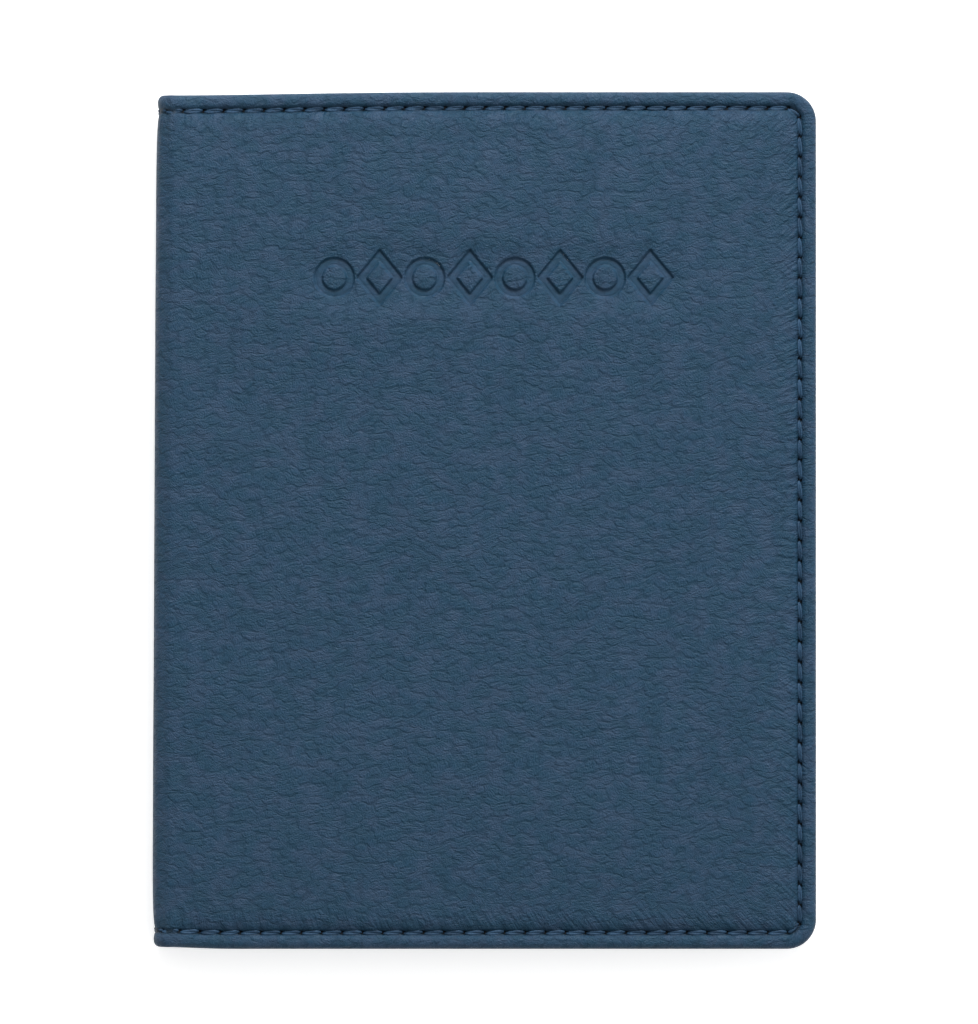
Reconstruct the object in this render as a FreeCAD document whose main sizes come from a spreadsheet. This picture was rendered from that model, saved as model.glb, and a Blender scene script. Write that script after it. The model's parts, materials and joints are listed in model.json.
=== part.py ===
"""Bifold leather passport holder, closed and lying on its back cover.

The origin is the middle of the base. +Z is up, +X runs from the spine to the fore edge and
+Y runs towards the head of the cover. Each cover is drawn in a frame of its own, with its
outer face at height zero and its layers stacked inwards, and is then placed: the back cover as
drawn, the front cover turned over on top of it. The spine stands between the two.
"""
import FreeCAD, Part
import math
import os
import Sketcher

DIMENSIONS = {
    # overall
    "closed_width": 107.95,
    "closed_height": 139.7,
    "corner_radius": 4.8,
    "bend_radius": 3.0,
    "bay_gap": 4.15,
    # layers, from the outside inwards
    "leather": 1.0,
    "padding": 0.8,
    "board": 0.5,
    "hem": 0.7,
    "lining": 0.2,
    "sleeve": 0.7,
    "slot_leather": 0.6,
    "spine_board": 0.5,
    # widths in the plane of a cover
    "rim_width": 3.4,
    "field_corner_radius": 2.0,
    "board_corner_radius": 1.2,
    "crease_gap": 1.0,
    "hem_width": 9.0,
    "hem_joint": 0.3,
    "lining_clearance": 0.2,
    "sleeve_inset": 1.0,
    "back_sleeve_width": 64.0,
    "front_sleeve_margin": 1.8,
    # card slots
    "slot_width": 90.0,
    "slot_depth": 46.0,
    "slot_rise": 14.0,
    "slot_side_gap": 1.6,
    "slot_foot": 14.0,
    "slot_corner_radius": 2.0,
    "slot_seam_inset": 1.2,
    # seams
    "seam_inset": 2.6,
    "stitch_pitch": 3.3,
    "stitch_gap": 0.7,
    "thread_width": 0.6,
    "thread": 0.3,
    "groove_width": 1.0,
}

SLOT_COUNT = 3
SIDES = ("back", "front")

# Places along X and Y, shared by both covers and the spine.
SPINE_FACE = "-dims.closed_width / 2"
FORE_EDGE = "dims.closed_width / 2"
HEAD = "dims.closed_height / 2"
COVER_START = f"{SPINE_FACE} + dims.bend_radius"
BOARD_START = f"{COVER_START} + dims.crease_gap"
BOARD_INSET = "dims.rim_width + dims.leather"
SLEEVE_EDGE = f"{FORE_EDGE} - dims.sleeve_inset"
SEAM_X = f"{FORE_EDGE} - dims.seam_inset"
SEAM_Y = f"{HEAD} - dims.seam_inset"

# Heights in a cover's own frame, counted inwards from its outer face.
RIM_LEVEL = "dims.padding + dims.board"
BOARD_LEVEL = "dims.leather + dims.padding"
HEM_LEVEL = f"{BOARD_LEVEL} + dims.board"
SLEEVE_LEVEL = f"{HEM_LEVEL} + dims.hem"
SLEEVE_FACE = f"{SLEEVE_LEVEL} + dims.sleeve"
THICKNESS = f"2 * ({SLEEVE_FACE}) + dims.bay_gap + {SLOT_COUNT} * dims.slot_leather"

# Card slots, in the front cover's own frame, where the mouths face -Y.
SLOT_RIGHT = f"{SEAM_X} - dims.slot_side_gap"
SLOT_LEFT = f"{SLOT_RIGHT} - dims.slot_width"
SLOT_BOTTOM = f"{HEAD} - dims.slot_foot"

# The front sleeve reaches a little past the card slots that are sewn to it.
SLEEVE_MOUTH = {
    "back": f"{SLEEVE_EDGE} - dims.back_sleeve_width",
    "front": f"{SLOT_LEFT} - dims.front_sleeve_margin",
}

# Heights in the spine, counted inwards from its outer face.
SPINE_HEM_LEVEL = "dims.leather + dims.spine_board"
SPINE_BOTTOM = "dims.bend_radius"
SPINE_LENGTH = f"{THICKNESS} - 2 * dims.bend_radius"


def negative(formula):
    """Returns the formula of the same size with its sign changed."""
    return f"-({formula})"


def make_sheet(document):
    """Writes the driving dimensions into the spreadsheet that every piece reads."""
    sheet = document.addObject("Spreadsheet::Sheet", "dims")
    for row, (alias, value) in enumerate(DIMENSIONS.items(), start=1):
        sheet.set(f"A{row}", alias)
        sheet.set(f"B{row}", str(value))
        sheet.setAlias(f"B{row}", alias)
    document.recompute()
    return sheet


def bind(feature, **formulas):
    """Binds properties of a feature to formulas; a double underscore stands for a dot."""
    for name, formula in formulas.items():
        feature.setExpression(name.replace("__", "."), formula)


def value_of(body, formula):
    """Returns the number that a formula gives with the present dimensions."""
    return float(body.Document.getObject("dims").evalExpression(formula))


def origin_feature(body, role):
    """Returns the plane or axis of a body's own origin that has the given role."""
    return next(item for item in body.Origin.OriginFeatures if item.Role == role)


def new_body(document, label):
    """Adds an empty body that becomes one sub-part."""
    body = document.addObject("PartDesign::Body", label)
    body.Label = label
    return body


def cover_body(document, side, name):
    """Adds a body drawn in a cover's own frame and places it on that cover."""
    body = new_body(document, f"{side}_{name}")
    if side == "front":
        body.Placement.Rotation = FreeCAD.Rotation(FreeCAD.Vector(1, 0, 0), 180)
        bind(body, Placement__Base__z=THICKNESS)
    return body


def outline(body, name, level, sides, radii=None):
    """Draws a closed outline of upright and level sides on the body's own base plane.

    sides is a list such as ("x", formula), a side upright at that x, or ("y", formula), a
    level side at that y, in turn round the outline. radii gives the radius of the corner that
    follows each side, by the side's index. Corners that aren't in it stay sharp.
    """
    radii = radii or {}
    sketch = body.newObject("Sketcher::SketchObject", name)
    sketch.AttachmentSupport = (origin_feature(body, "XY_Plane"), [""])
    sketch.MapMode = "FlatFace"
    bind(sketch, AttachmentOffset__Base__z=level)
    places = [value_of(body, formula) for _, formula in sides]
    total = len(sides)
    corners = []
    for index, (kind, _) in enumerate(sides):
        here, after = places[index], places[(index + 1) % total]
        corners.append(FreeCAD.Vector(here, after, 0) if kind == "x" else FreeCAD.Vector(after, here, 0))
    radius_of = [value_of(body, radii[index]) if index in radii else 0.0 for index in range(total)]
    runs = [(corners[index] - corners[index - 1]).normalize() for index in range(total)]

    for index in range(total):
        start = corners[index - 1] + runs[index] * radius_of[index - 1]
        end = corners[index] - runs[index] * radius_of[index]
        sketch.addGeometry(Part.LineSegment(start, end), False)
    arcs = {index: add_corner_arc(sketch, corners[index], runs[index], runs[(index + 1) % total],
                                  radius_of[index]) for index in radii}

    for index, (kind, formula) in enumerate(sides):
        sketch.addConstraint(Sketcher.Constraint("Vertical" if kind == "x" else "Horizontal", index))
        distance = "DistanceX" if kind == "x" else "DistanceY"
        bind_constraint(sketch, Sketcher.Constraint(distance, -1, 1, index, 1, places[index]),
                        f"side_{index}", formula)
    for index in range(total):
        following = (index + 1) % total
        if index not in arcs:
            sketch.addConstraint(Sketcher.Constraint("Coincident", index, 2, following, 1))
            continue
        arc, first, last = arcs[index]
        sketch.addConstraint(Sketcher.Constraint("Tangent", index, 2, arc, first))
        sketch.addConstraint(Sketcher.Constraint("Tangent", arc, last, following, 1))
        bind_constraint(sketch, Sketcher.Constraint("Radius", arc, radius_of[index]),
                        f"radius_{index}", radii[index])
    return sketch


def add_corner_arc(sketch, corner, run_in, run_out, radius):
    """Adds the arc that rounds a corner; returns its index and its two end numbers in order."""
    centre = corner - run_in * radius + run_out * radius
    entry = corner - run_in * radius - centre
    leaving = corner + run_out * radius - centre
    turns_left = run_in.cross(run_out).z > 0
    first, second = (entry, leaving) if turns_left else (leaving, entry)
    begin = math.atan2(first.y, first.x)
    finish = math.atan2(second.y, second.x)
    circle = Part.Circle(centre, FreeCAD.Vector(0, 0, 1), radius)
    index = sketch.addGeometry(Part.ArcOfCircle(circle, begin, finish), False)
    return (index, 1, 2) if turns_left else (index, 2, 1)


def bind_constraint(sketch, constraint, name, formula):
    """Adds a dimension to a sketch and binds it to a formula."""
    index = sketch.addConstraint(constraint)
    sketch.renameConstraint(index, name)
    sketch.setExpression(f"Constraints.{name}", formula)


def pad(body, name, sketch, thickness):
    """Pads an outline upwards."""
    feature = body.newObject("PartDesign::Pad", name)
    feature.Profile = sketch
    bind(feature, Length=thickness)
    body.Tip = feature
    return feature


def cut(body, name, sketch, depth, upwards):
    """Cuts an outline out of the body, upwards or downwards from the outline."""
    feature = body.newObject("PartDesign::Pocket", name)
    feature.Profile = sketch
    feature.Reversed = upwards
    bind(feature, Length=depth)
    body.Tip = feature
    return feature


def tab_sides(start, fore_inset, edge_inset=None):
    """Returns the sides of a panel that starts at the spine and ends short of the fore edge."""
    edge_inset = edge_inset or fore_inset
    half = f"{HEAD} - ({edge_inset})"
    return [("x", start), ("y", negative(half)), ("x", f"{FORE_EDGE} - ({fore_inset})"), ("y", half)]


def band_sides(start, outer_inset, inner_inset):
    """Returns the sides of a band along the head, fore edge and tail, open at the spine."""
    outer = f"{HEAD} - ({outer_inset})"
    inner = f"{HEAD} - ({inner_inset})"
    return [
        ("x", start),
        ("y", negative(outer)),
        ("x", f"{FORE_EDGE} - ({outer_inset})"),
        ("y", outer),
        ("x", start),
        ("y", inner),
        ("x", f"{FORE_EDGE} - ({inner_inset})"),
        ("y", negative(inner)),
    ]


def fore_corners(radius):
    """Returns the radii for the two corners of a tab at the fore edge."""
    return {1: radius, 2: radius}


def seam_groove(body, start, floor_level, upwards):
    """Cuts the shallow channel that the seam's stitches lie in."""
    half_width = "dims.groove_width / 2"
    sides = band_sides(start, f"dims.seam_inset - {half_width}", f"dims.seam_inset + {half_width}")
    sketch = outline(body, "groove_outline", floor_level, sides)
    cut(body, "groove", sketch, "dims.thread", upwards)


def stitch_row(body, name, axis, start, line, run, level):
    """Lays a row of stitches along X or Y: start is where the row begins, line its place across."""
    count = f"floor(({run}) / dims.stitch_pitch)"
    step = f"({run}) / {count}"
    stitch = body.newObject("PartDesign::AdditiveBox", name)
    along, across = ("Length", "Width") if axis == "X" else ("Width", "Length")
    bind(stitch, **{along: f"{step} - dims.stitch_gap", across: "dims.thread_width", "Height": "dims.thread"})
    place_along = f"{start} + dims.stitch_gap / 2"
    place_across = f"{line} - dims.thread_width / 2"
    base = (place_along, place_across) if axis == "X" else (place_across, place_along)
    bind(stitch, Placement__Base__x=base[0], Placement__Base__y=base[1], Placement__Base__z=level)
    row = body.newObject("PartDesign::LinearPattern", f"{name}_row")
    row.Originals = [stitch]
    row.Direction = (origin_feature(body, f"{axis}_Axis"), [""])
    bind(row, Occurrences=count, Length=f"{step} * ({count} - 1)")
    body.Tip = row
    return row


def seam_rows(body, name, start, level, with_fore_row=True):
    """Lays the seam's stitches along the head and the tail and, if asked, the fore edge."""
    end = SEAM_X if with_fore_row else SLEEVE_MOUTH[body.Label.split("_")[0]]
    run = f"({end}) - ({start})"
    stitch_row(body, f"{name}_head", "X", start, SEAM_Y, run, level)
    stitch_row(body, f"{name}_tail", "X", start, negative(SEAM_Y), run, level)
    if with_fore_row:
        stitch_row(body, f"{name}_fore", "Y", negative(SEAM_Y), SEAM_X, f"2 * ({SEAM_Y})", level)


def make_cover_leather(document, side):
    """Outer leather: a raised field over the padding and a lower rim outside it."""
    body = cover_body(document, side, "cover_leather")
    field = tab_sides(COVER_START, "dims.rim_width")
    pad(body, "field", outline(body, "field_outline", "0", field, fore_corners("dims.field_corner_radius")),
        "dims.leather")
    wall = band_sides(COVER_START, "dims.rim_width", BOARD_INSET)
    wall_radii = {**fore_corners("dims.field_corner_radius"),
                  5: "dims.board_corner_radius", 6: "dims.board_corner_radius"}
    pad(body, "wall", outline(body, "wall_outline", "0", wall, wall_radii), HEM_LEVEL)
    rim = band_sides(COVER_START, "0", BOARD_INSET)
    rim_radii = {**fore_corners("dims.corner_radius"),
                 5: "dims.board_corner_radius", 6: "dims.board_corner_radius"}
    pad(body, "rim", outline(body, "rim_outline", RIM_LEVEL, rim, rim_radii), "dims.leather")
    seam_groove(body, COVER_START, f"{RIM_LEVEL} + dims.thread", upwards=False)
    return body


def make_hem_flaps(document, side):
    """Turned-in edges of the cover leather: one strip each at the fore edge, head and tail."""
    body = cover_body(document, side, "hem_flaps")
    fold = f"{FORE_EDGE} - dims.hem_width"
    fore = [("x", fold), ("y", negative(HEAD)), ("x", FORE_EDGE), ("y", HEAD)]
    pad(body, "fore", outline(body, "fore_outline", HEM_LEVEL, fore, fore_corners("dims.corner_radius")),
        "dims.hem")
    for name, low, high in (("head", f"{HEAD} - dims.hem_width", HEAD),
                            ("tail", negative(HEAD), f"dims.hem_width - {HEAD}")):
        strip = [("x", COVER_START), ("y", low), ("x", f"{fold} - dims.hem_joint"), ("y", high)]
        pad(body, name, outline(body, f"{name}_outline", HEM_LEVEL, strip), "dims.hem")
    return body


def make_padding(document, side):
    """Thin foam that fills the raised field of the cover."""
    body = cover_body(document, side, "padding")
    sketch = outline(body, "padding_outline", "dims.leather", tab_sides(BOARD_START, BOARD_INSET),
                     fore_corners("dims.board_corner_radius"))
    pad(body, "foam", sketch, "dims.padding")
    return body


def make_board(document, side):
    """Stiff card behind the padding."""
    body = cover_body(document, side, "board")
    sketch = outline(body, "board_outline", BOARD_LEVEL, tab_sides(BOARD_START, BOARD_INSET),
                     fore_corners("dims.board_corner_radius"))
    pad(body, "card", sketch, "dims.board")
    return body


def make_lining(document, side):
    """Fabric glued on the board, in the window between the turned-in edges."""
    body = cover_body(document, side, "lining")
    inset = "dims.hem_width + dims.lining_clearance"
    sketch = outline(body, "lining_outline", HEM_LEVEL, tab_sides(BOARD_START, inset))
    pad(body, "fabric", sketch, "dims.lining")
    return body


def make_sleeve(document, side):
    """Leather sleeve over the lining, sewn round three sides and open towards the spine."""
    body = cover_body(document, side, "sleeve")
    mouth = SLEEVE_MOUTH[side]
    sketch = outline(body, "sleeve_outline", SLEEVE_LEVEL, tab_sides(mouth, "dims.sleeve_inset"),
                     fore_corners("dims.corner_radius - dims.sleeve_inset"))
    pad(body, "panel", sketch, "dims.sleeve")
    seam_groove(body, mouth, f"{SLEEVE_FACE} - dims.thread", upwards=True)
    return body


def make_outer_stitches(document, side):
    """Seam stitches that show on the outside of the cover."""
    body = cover_body(document, side, "outer_stitches")
    seam_rows(body, "outer", COVER_START, RIM_LEVEL)
    return body


def make_inner_stitches(document, side):
    """Seam stitches inside the cover: on the sleeve and, from its mouth to the spine, on the hem."""
    body = cover_body(document, side, "inner_stitches")
    seam_rows(body, "sleeve", SLEEVE_MOUTH[side], f"{SLEEVE_FACE} - dims.thread")
    seam_rows(body, "hem", COVER_START, SLEEVE_LEVEL, with_fore_row=False)
    return body


def slot_mouth(number):
    """Returns where a card slot's mouth is; slot 1 is the tallest and lies against the sleeve."""
    return f"{SLOT_BOTTOM} - dims.slot_depth - {SLOT_COUNT - number} * dims.slot_rise"


def slot_face(number):
    """Returns the height of a card slot's face in the front cover's own frame."""
    return f"{SLEEVE_FACE} + {number} * dims.slot_leather"


def make_card_slot(document, number):
    """One leather card slot, open at its mouth, with a channel for the stitches round it."""
    body = cover_body(document, "front", f"card_slot_{number}")
    body.Label = f"card_slot_{number}"
    mouth = slot_mouth(number)
    sides = [("x", SLOT_LEFT), ("y", mouth), ("x", SLOT_RIGHT), ("y", SLOT_BOTTOM)]
    corners = {2: "dims.slot_corner_radius", 3: "dims.slot_corner_radius"}
    pad(body, "panel", outline(body, "slot_outline", slot_face(number - 1), sides, corners),
        "dims.slot_leather")
    outer = "(dims.slot_seam_inset - dims.groove_width / 2)"
    inner = "(dims.slot_seam_inset + dims.groove_width / 2)"
    channel = [
        ("y", mouth),
        ("x", f"{SLOT_LEFT} + {outer}"),
        ("y", f"{SLOT_BOTTOM} - {outer}"),
        ("x", f"{SLOT_RIGHT} - {outer}"),
        ("y", mouth),
        ("x", f"{SLOT_RIGHT} - {inner}"),
        ("y", f"{SLOT_BOTTOM} - {inner}"),
        ("x", f"{SLOT_LEFT} + {inner}"),
    ]
    sketch = outline(body, "channel_outline", f"{slot_face(number)} - dims.thread", channel)
    cut(body, "channel", sketch, "dims.thread", upwards=True)
    return body


def make_slot_stitches(document):
    """Stitches down both sides of the card slots and along the bottom of the last one."""
    body = cover_body(document, "front", "slot_stitches")
    body.Label = "card_slot_stitches"
    left = f"{SLOT_LEFT} + dims.slot_seam_inset"
    right = f"{SLOT_RIGHT} - dims.slot_seam_inset"
    bottom = f"{SLOT_BOTTOM} - dims.slot_seam_inset"
    for number in range(1, SLOT_COUNT + 1):
        start = slot_mouth(number)
        end = slot_mouth(number + 1) if number < SLOT_COUNT else bottom
        level = f"{slot_face(number)} - dims.thread"
        run = f"({end}) - ({start})"
        stitch_row(body, f"left_{number}", "Y", start, left, run, level)
        stitch_row(body, f"right_{number}", "Y", start, right, run, level)
    bottom_level = f"{slot_face(SLOT_COUNT)} - dims.thread"
    stitch_row(body, "bottom", "X", left, bottom, f"({right}) - ({left})", bottom_level)
    return body


def spine_box(body, kind, name, depth, thickness, low, length, bottom=SPINE_BOTTOM, height=SPINE_LENGTH):
    """Adds or cuts a block in the spine: depth from its outer face, low and length along Y."""
    block = body.newObject(f"PartDesign::{kind}Box", name)
    bind(block, Length=thickness, Width=length, Height=height)
    bind(block, Placement__Base__x=f"{SPINE_FACE} + {depth}", Placement__Base__y=low,
         Placement__Base__z=bottom)
    body.Tip = block
    return block


def make_spine_leather(document):
    """Flat of the spine's leather between the two bends, with a channel for the seam at each end."""
    body = new_body(document, "spine_leather")
    spine_box(body, "Additive", "flat", "0", "dims.leather", negative(HEAD), "dims.closed_height")
    half_width = "dims.groove_width / 2"
    for name, line in (("head", SEAM_Y), ("tail", negative(SEAM_Y))):
        spine_box(body, "Subtractive", f"{name}_channel", "0", "dims.thread",
                  f"{line} - {half_width}", "dims.groove_width")
    return body


def make_spine_stiffener(document):
    """Narrow card strip that keeps the spine flat."""
    body = new_body(document, "spine_stiffener")
    half = f"{HEAD} - ({BOARD_INSET})"
    spine_box(body, "Additive", "card", "dims.leather", "dims.spine_board", negative(half), f"2 * ({half})")
    return body


def make_spine_lining(document):
    """Fabric on the inside of the spine, between the turned-in ends."""
    body = new_body(document, "spine_lining")
    half = f"{HEAD} - dims.hem_width - dims.lining_clearance"
    spine_box(body, "Additive", "fabric", SPINE_HEM_LEVEL, "dims.lining", negative(half), f"2 * ({half})")
    return body


def make_spine_hem_flaps(document):
    """Turned-in leather at the head and the tail of the spine."""
    body = new_body(document, "spine_hem_flaps")
    for name, low in (("head", f"{HEAD} - dims.hem_width"), ("tail", negative(HEAD))):
        spine_box(body, "Additive", name, SPINE_HEM_LEVEL, "dims.hem", low, "dims.hem_width")
    return body


def make_spine_stitches(document):
    """Stitches where the seam crosses the spine, outside and inside, at the head and the tail."""
    body = new_body(document, "spine_stitches")
    count = f"floor(({SPINE_LENGTH}) / dims.stitch_pitch)"
    step = f"({SPINE_LENGTH}) / {count}"
    for face, depth in (("outer", "0"), ("inner", f"{SPINE_HEM_LEVEL} + dims.hem")):
        for name, line in (("head", SEAM_Y), ("tail", negative(SEAM_Y))):
            stitch = spine_box(body, "Additive", f"{face}_{name}", depth, "dims.thread",
                               f"{line} - dims.thread_width / 2", "dims.thread_width",
                               f"{SPINE_BOTTOM} + dims.stitch_gap / 2", f"{step} - dims.stitch_gap")
            row = body.newObject("PartDesign::LinearPattern", f"{face}_{name}_row")
            row.Originals = [stitch]
            row.Direction = (origin_feature(body, "Z_Axis"), [""])
            bind(row, Occurrences=count, Length=f"{step} * ({count} - 1)")
            body.Tip = row
    return body


def make_crease_leather(document, side):
    """Quarter-round bend of leather between a cover and the spine."""
    if side == "back":
        turn = (FreeCAD.Vector(0, 0, -1), FreeCAD.Vector(-1, 0, 0))
        height = "dims.bend_radius"
    else:
        turn = (FreeCAD.Vector(-1, 0, 0), FreeCAD.Vector(0, 0, 1))
        height = f"{THICKNESS} - dims.bend_radius"
    rotation = FreeCAD.Rotation(turn[0], turn[1], FreeCAD.Vector(0, 1, 0), "XYZ")
    quarters = []
    for name, radius in (("outside", "dims.bend_radius"), ("inside", "dims.bend_radius - dims.leather")):
        quarter = document.addObject("Part::Cylinder", f"{side}_crease_{name}")
        quarter.Angle = 90
        quarter.Placement.Rotation = rotation
        bind(quarter, Radius=radius, Height="dims.closed_height", Placement__Base__x=COVER_START,
             Placement__Base__y=negative(HEAD), Placement__Base__z=height)
        quarters.append(quarter)
    crease = document.addObject("Part::Cut", f"{side}_crease_leather")
    crease.Base, crease.Tool = quarters
    crease.Label = f"{side}_crease_leather"
    return crease


def make_subparts(document):
    """Builds every piece of the holder and returns the pieces."""
    cover_makers = (make_cover_leather, make_hem_flaps, make_padding, make_board, make_lining,
                    make_sleeve, make_outer_stitches, make_inner_stitches, make_crease_leather)
    spine_makers = (make_spine_leather, make_spine_stiffener, make_spine_lining,
                    make_spine_hem_flaps, make_spine_stitches)
    pieces = [make(document, side) for side in SIDES for make in cover_makers]
    pieces += [make(document) for make in spine_makers]
    pieces += [make_card_slot(document, number) for number in range(1, SLOT_COUNT + 1)]
    pieces.append(make_slot_stitches(document))
    return pieces


def check_document(document, pieces):
    """Stops the build if any object failed or any piece is empty or not valid."""
    for item in document.Objects:
        if {"Invalid", "Error"} & set(item.State):
            raise RuntimeError(f"{item.Label} failed: {item.State}")
    for piece in pieces:
        if piece.Shape.isNull() or not piece.Shape.isValid() or not piece.Shape.Solids:
            raise RuntimeError(f"{piece.Label} has no valid solid")


def export(pieces):
    """Writes each piece to its own STEP file and lists it."""
    os.makedirs("parts", exist_ok=True)
    for piece in pieces:
        piece.Shape.exportStep(os.path.join("parts", f"{piece.Label}.step"))
        box = piece.Shape.BoundBox
        print(f"{piece.Label:24s} solids {len(piece.Shape.Solids):3d}  volume {piece.Shape.Volume:9.2f}"
              f"  z {box.ZMin:6.2f} to {box.ZMax:6.2f}")


passport_holder = FreeCAD.newDocument("passport_holder")
make_sheet(passport_holder)
subparts = make_subparts(passport_holder)
passport_holder.recompute()
check_document(passport_holder, subparts)
export(subparts)
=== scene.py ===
"""Navy leather passport holder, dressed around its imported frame.

Sizes in this file are millimetres, and every mesh is written in metres. The hide is worked out
flat, as a leather worker cuts it: a distance from the middle of the spine and a place along the
head-to-tail line. It is then skived, turned in, sewn and folded over the covers and the spine.
"""
from __future__ import annotations

import json
import logging
import math
import random
from dataclasses import dataclass, field, replace
from enum import Enum
from typing import Callable, Iterable, Union

import bmesh
import bpy
from bmesh.types import BMesh, BMVert
from bpy.types import Material, Node, NodeSocket, NodeTree, Object
from mathutils import Matrix, Vector, noise

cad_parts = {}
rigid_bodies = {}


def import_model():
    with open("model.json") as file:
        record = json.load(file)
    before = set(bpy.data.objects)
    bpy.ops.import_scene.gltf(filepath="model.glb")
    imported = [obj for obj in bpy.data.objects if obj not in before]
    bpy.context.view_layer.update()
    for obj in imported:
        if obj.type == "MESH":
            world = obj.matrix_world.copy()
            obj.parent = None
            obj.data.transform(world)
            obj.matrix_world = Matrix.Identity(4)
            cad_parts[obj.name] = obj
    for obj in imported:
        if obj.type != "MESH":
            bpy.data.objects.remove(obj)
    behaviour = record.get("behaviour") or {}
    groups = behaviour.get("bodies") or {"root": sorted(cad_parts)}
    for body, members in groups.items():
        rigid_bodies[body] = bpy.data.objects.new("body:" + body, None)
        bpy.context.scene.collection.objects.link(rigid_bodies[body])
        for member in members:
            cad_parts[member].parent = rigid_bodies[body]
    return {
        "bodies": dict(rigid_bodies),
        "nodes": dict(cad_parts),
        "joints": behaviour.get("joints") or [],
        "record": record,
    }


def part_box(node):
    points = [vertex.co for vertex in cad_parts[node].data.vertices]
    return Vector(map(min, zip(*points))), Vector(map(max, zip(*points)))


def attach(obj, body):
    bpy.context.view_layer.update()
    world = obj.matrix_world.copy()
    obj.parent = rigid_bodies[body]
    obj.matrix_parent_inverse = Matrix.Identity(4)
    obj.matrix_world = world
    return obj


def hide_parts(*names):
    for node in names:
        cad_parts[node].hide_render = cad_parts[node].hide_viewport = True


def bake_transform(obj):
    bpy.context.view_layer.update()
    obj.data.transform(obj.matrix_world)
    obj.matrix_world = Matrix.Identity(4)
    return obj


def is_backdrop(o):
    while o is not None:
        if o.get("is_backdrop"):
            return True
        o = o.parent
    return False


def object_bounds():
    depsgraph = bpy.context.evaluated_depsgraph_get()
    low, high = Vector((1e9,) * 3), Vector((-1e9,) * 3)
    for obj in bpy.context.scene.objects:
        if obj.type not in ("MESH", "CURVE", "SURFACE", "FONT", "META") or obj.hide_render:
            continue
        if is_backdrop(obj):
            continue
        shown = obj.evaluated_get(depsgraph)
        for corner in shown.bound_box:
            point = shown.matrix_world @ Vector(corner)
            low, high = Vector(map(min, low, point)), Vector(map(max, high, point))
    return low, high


LOG = logging.getLogger("passport_holder")
MM = 0.001

# Sizes that more than one piece or finish follows, in millimetres.
STITCH_PITCH = 3.3
COVER_CORNER = 4.8
COVER_SEAM_INSET = 2.65
SLEEVE_SEAM_INSET = 1.6
SLOT_SEAM_INSET = 1.2
TIGHTEST_FOLD = 0.25

# How far the hand-made outline wanders near the spine, in millimetres.
SPINE_LEAN = 0.34
HEAD_DRAW = 0.55
TAIL_DRAW = 0.35
TAIL_DRAW_REACH = 13.0

Colour = tuple[float, float, float, float]
Value = Union[NodeSocket, float]
WHITE = (1.0, 1.0, 1.0, 1.0)


class Side(Enum):
    """The two covers of the holder."""

    BACK = "back"
    FRONT = "front"


def smooth(value: float) -> float:
    """Returns an S-shaped rise from 0 to 1 as value goes from 0 to 1."""
    share = min(max(value, 0.0), 1.0)
    return share * share * (3.0 - 2.0 * share)


def mix(low: float, high: float, share: float) -> float:
    """Returns the value that lies the given share of the way from low to high."""
    return low + (high - low) * share


def ripple(x: float, y: float, size: float, layer: float = 0.0) -> float:
    """Gives soft noise that is the same in every run.

    Args:
        x: place along one direction.
        y: place along the other.
        size: how far apart the noise's hills are, in the same unit.
        layer: a number of its own for each use, so that two uses never line up.

    Returns:
        A value between about -1 and 1.
    """
    return noise.noise(Vector((x / size, y / size, layer)))


# ---- Layout ----


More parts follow.
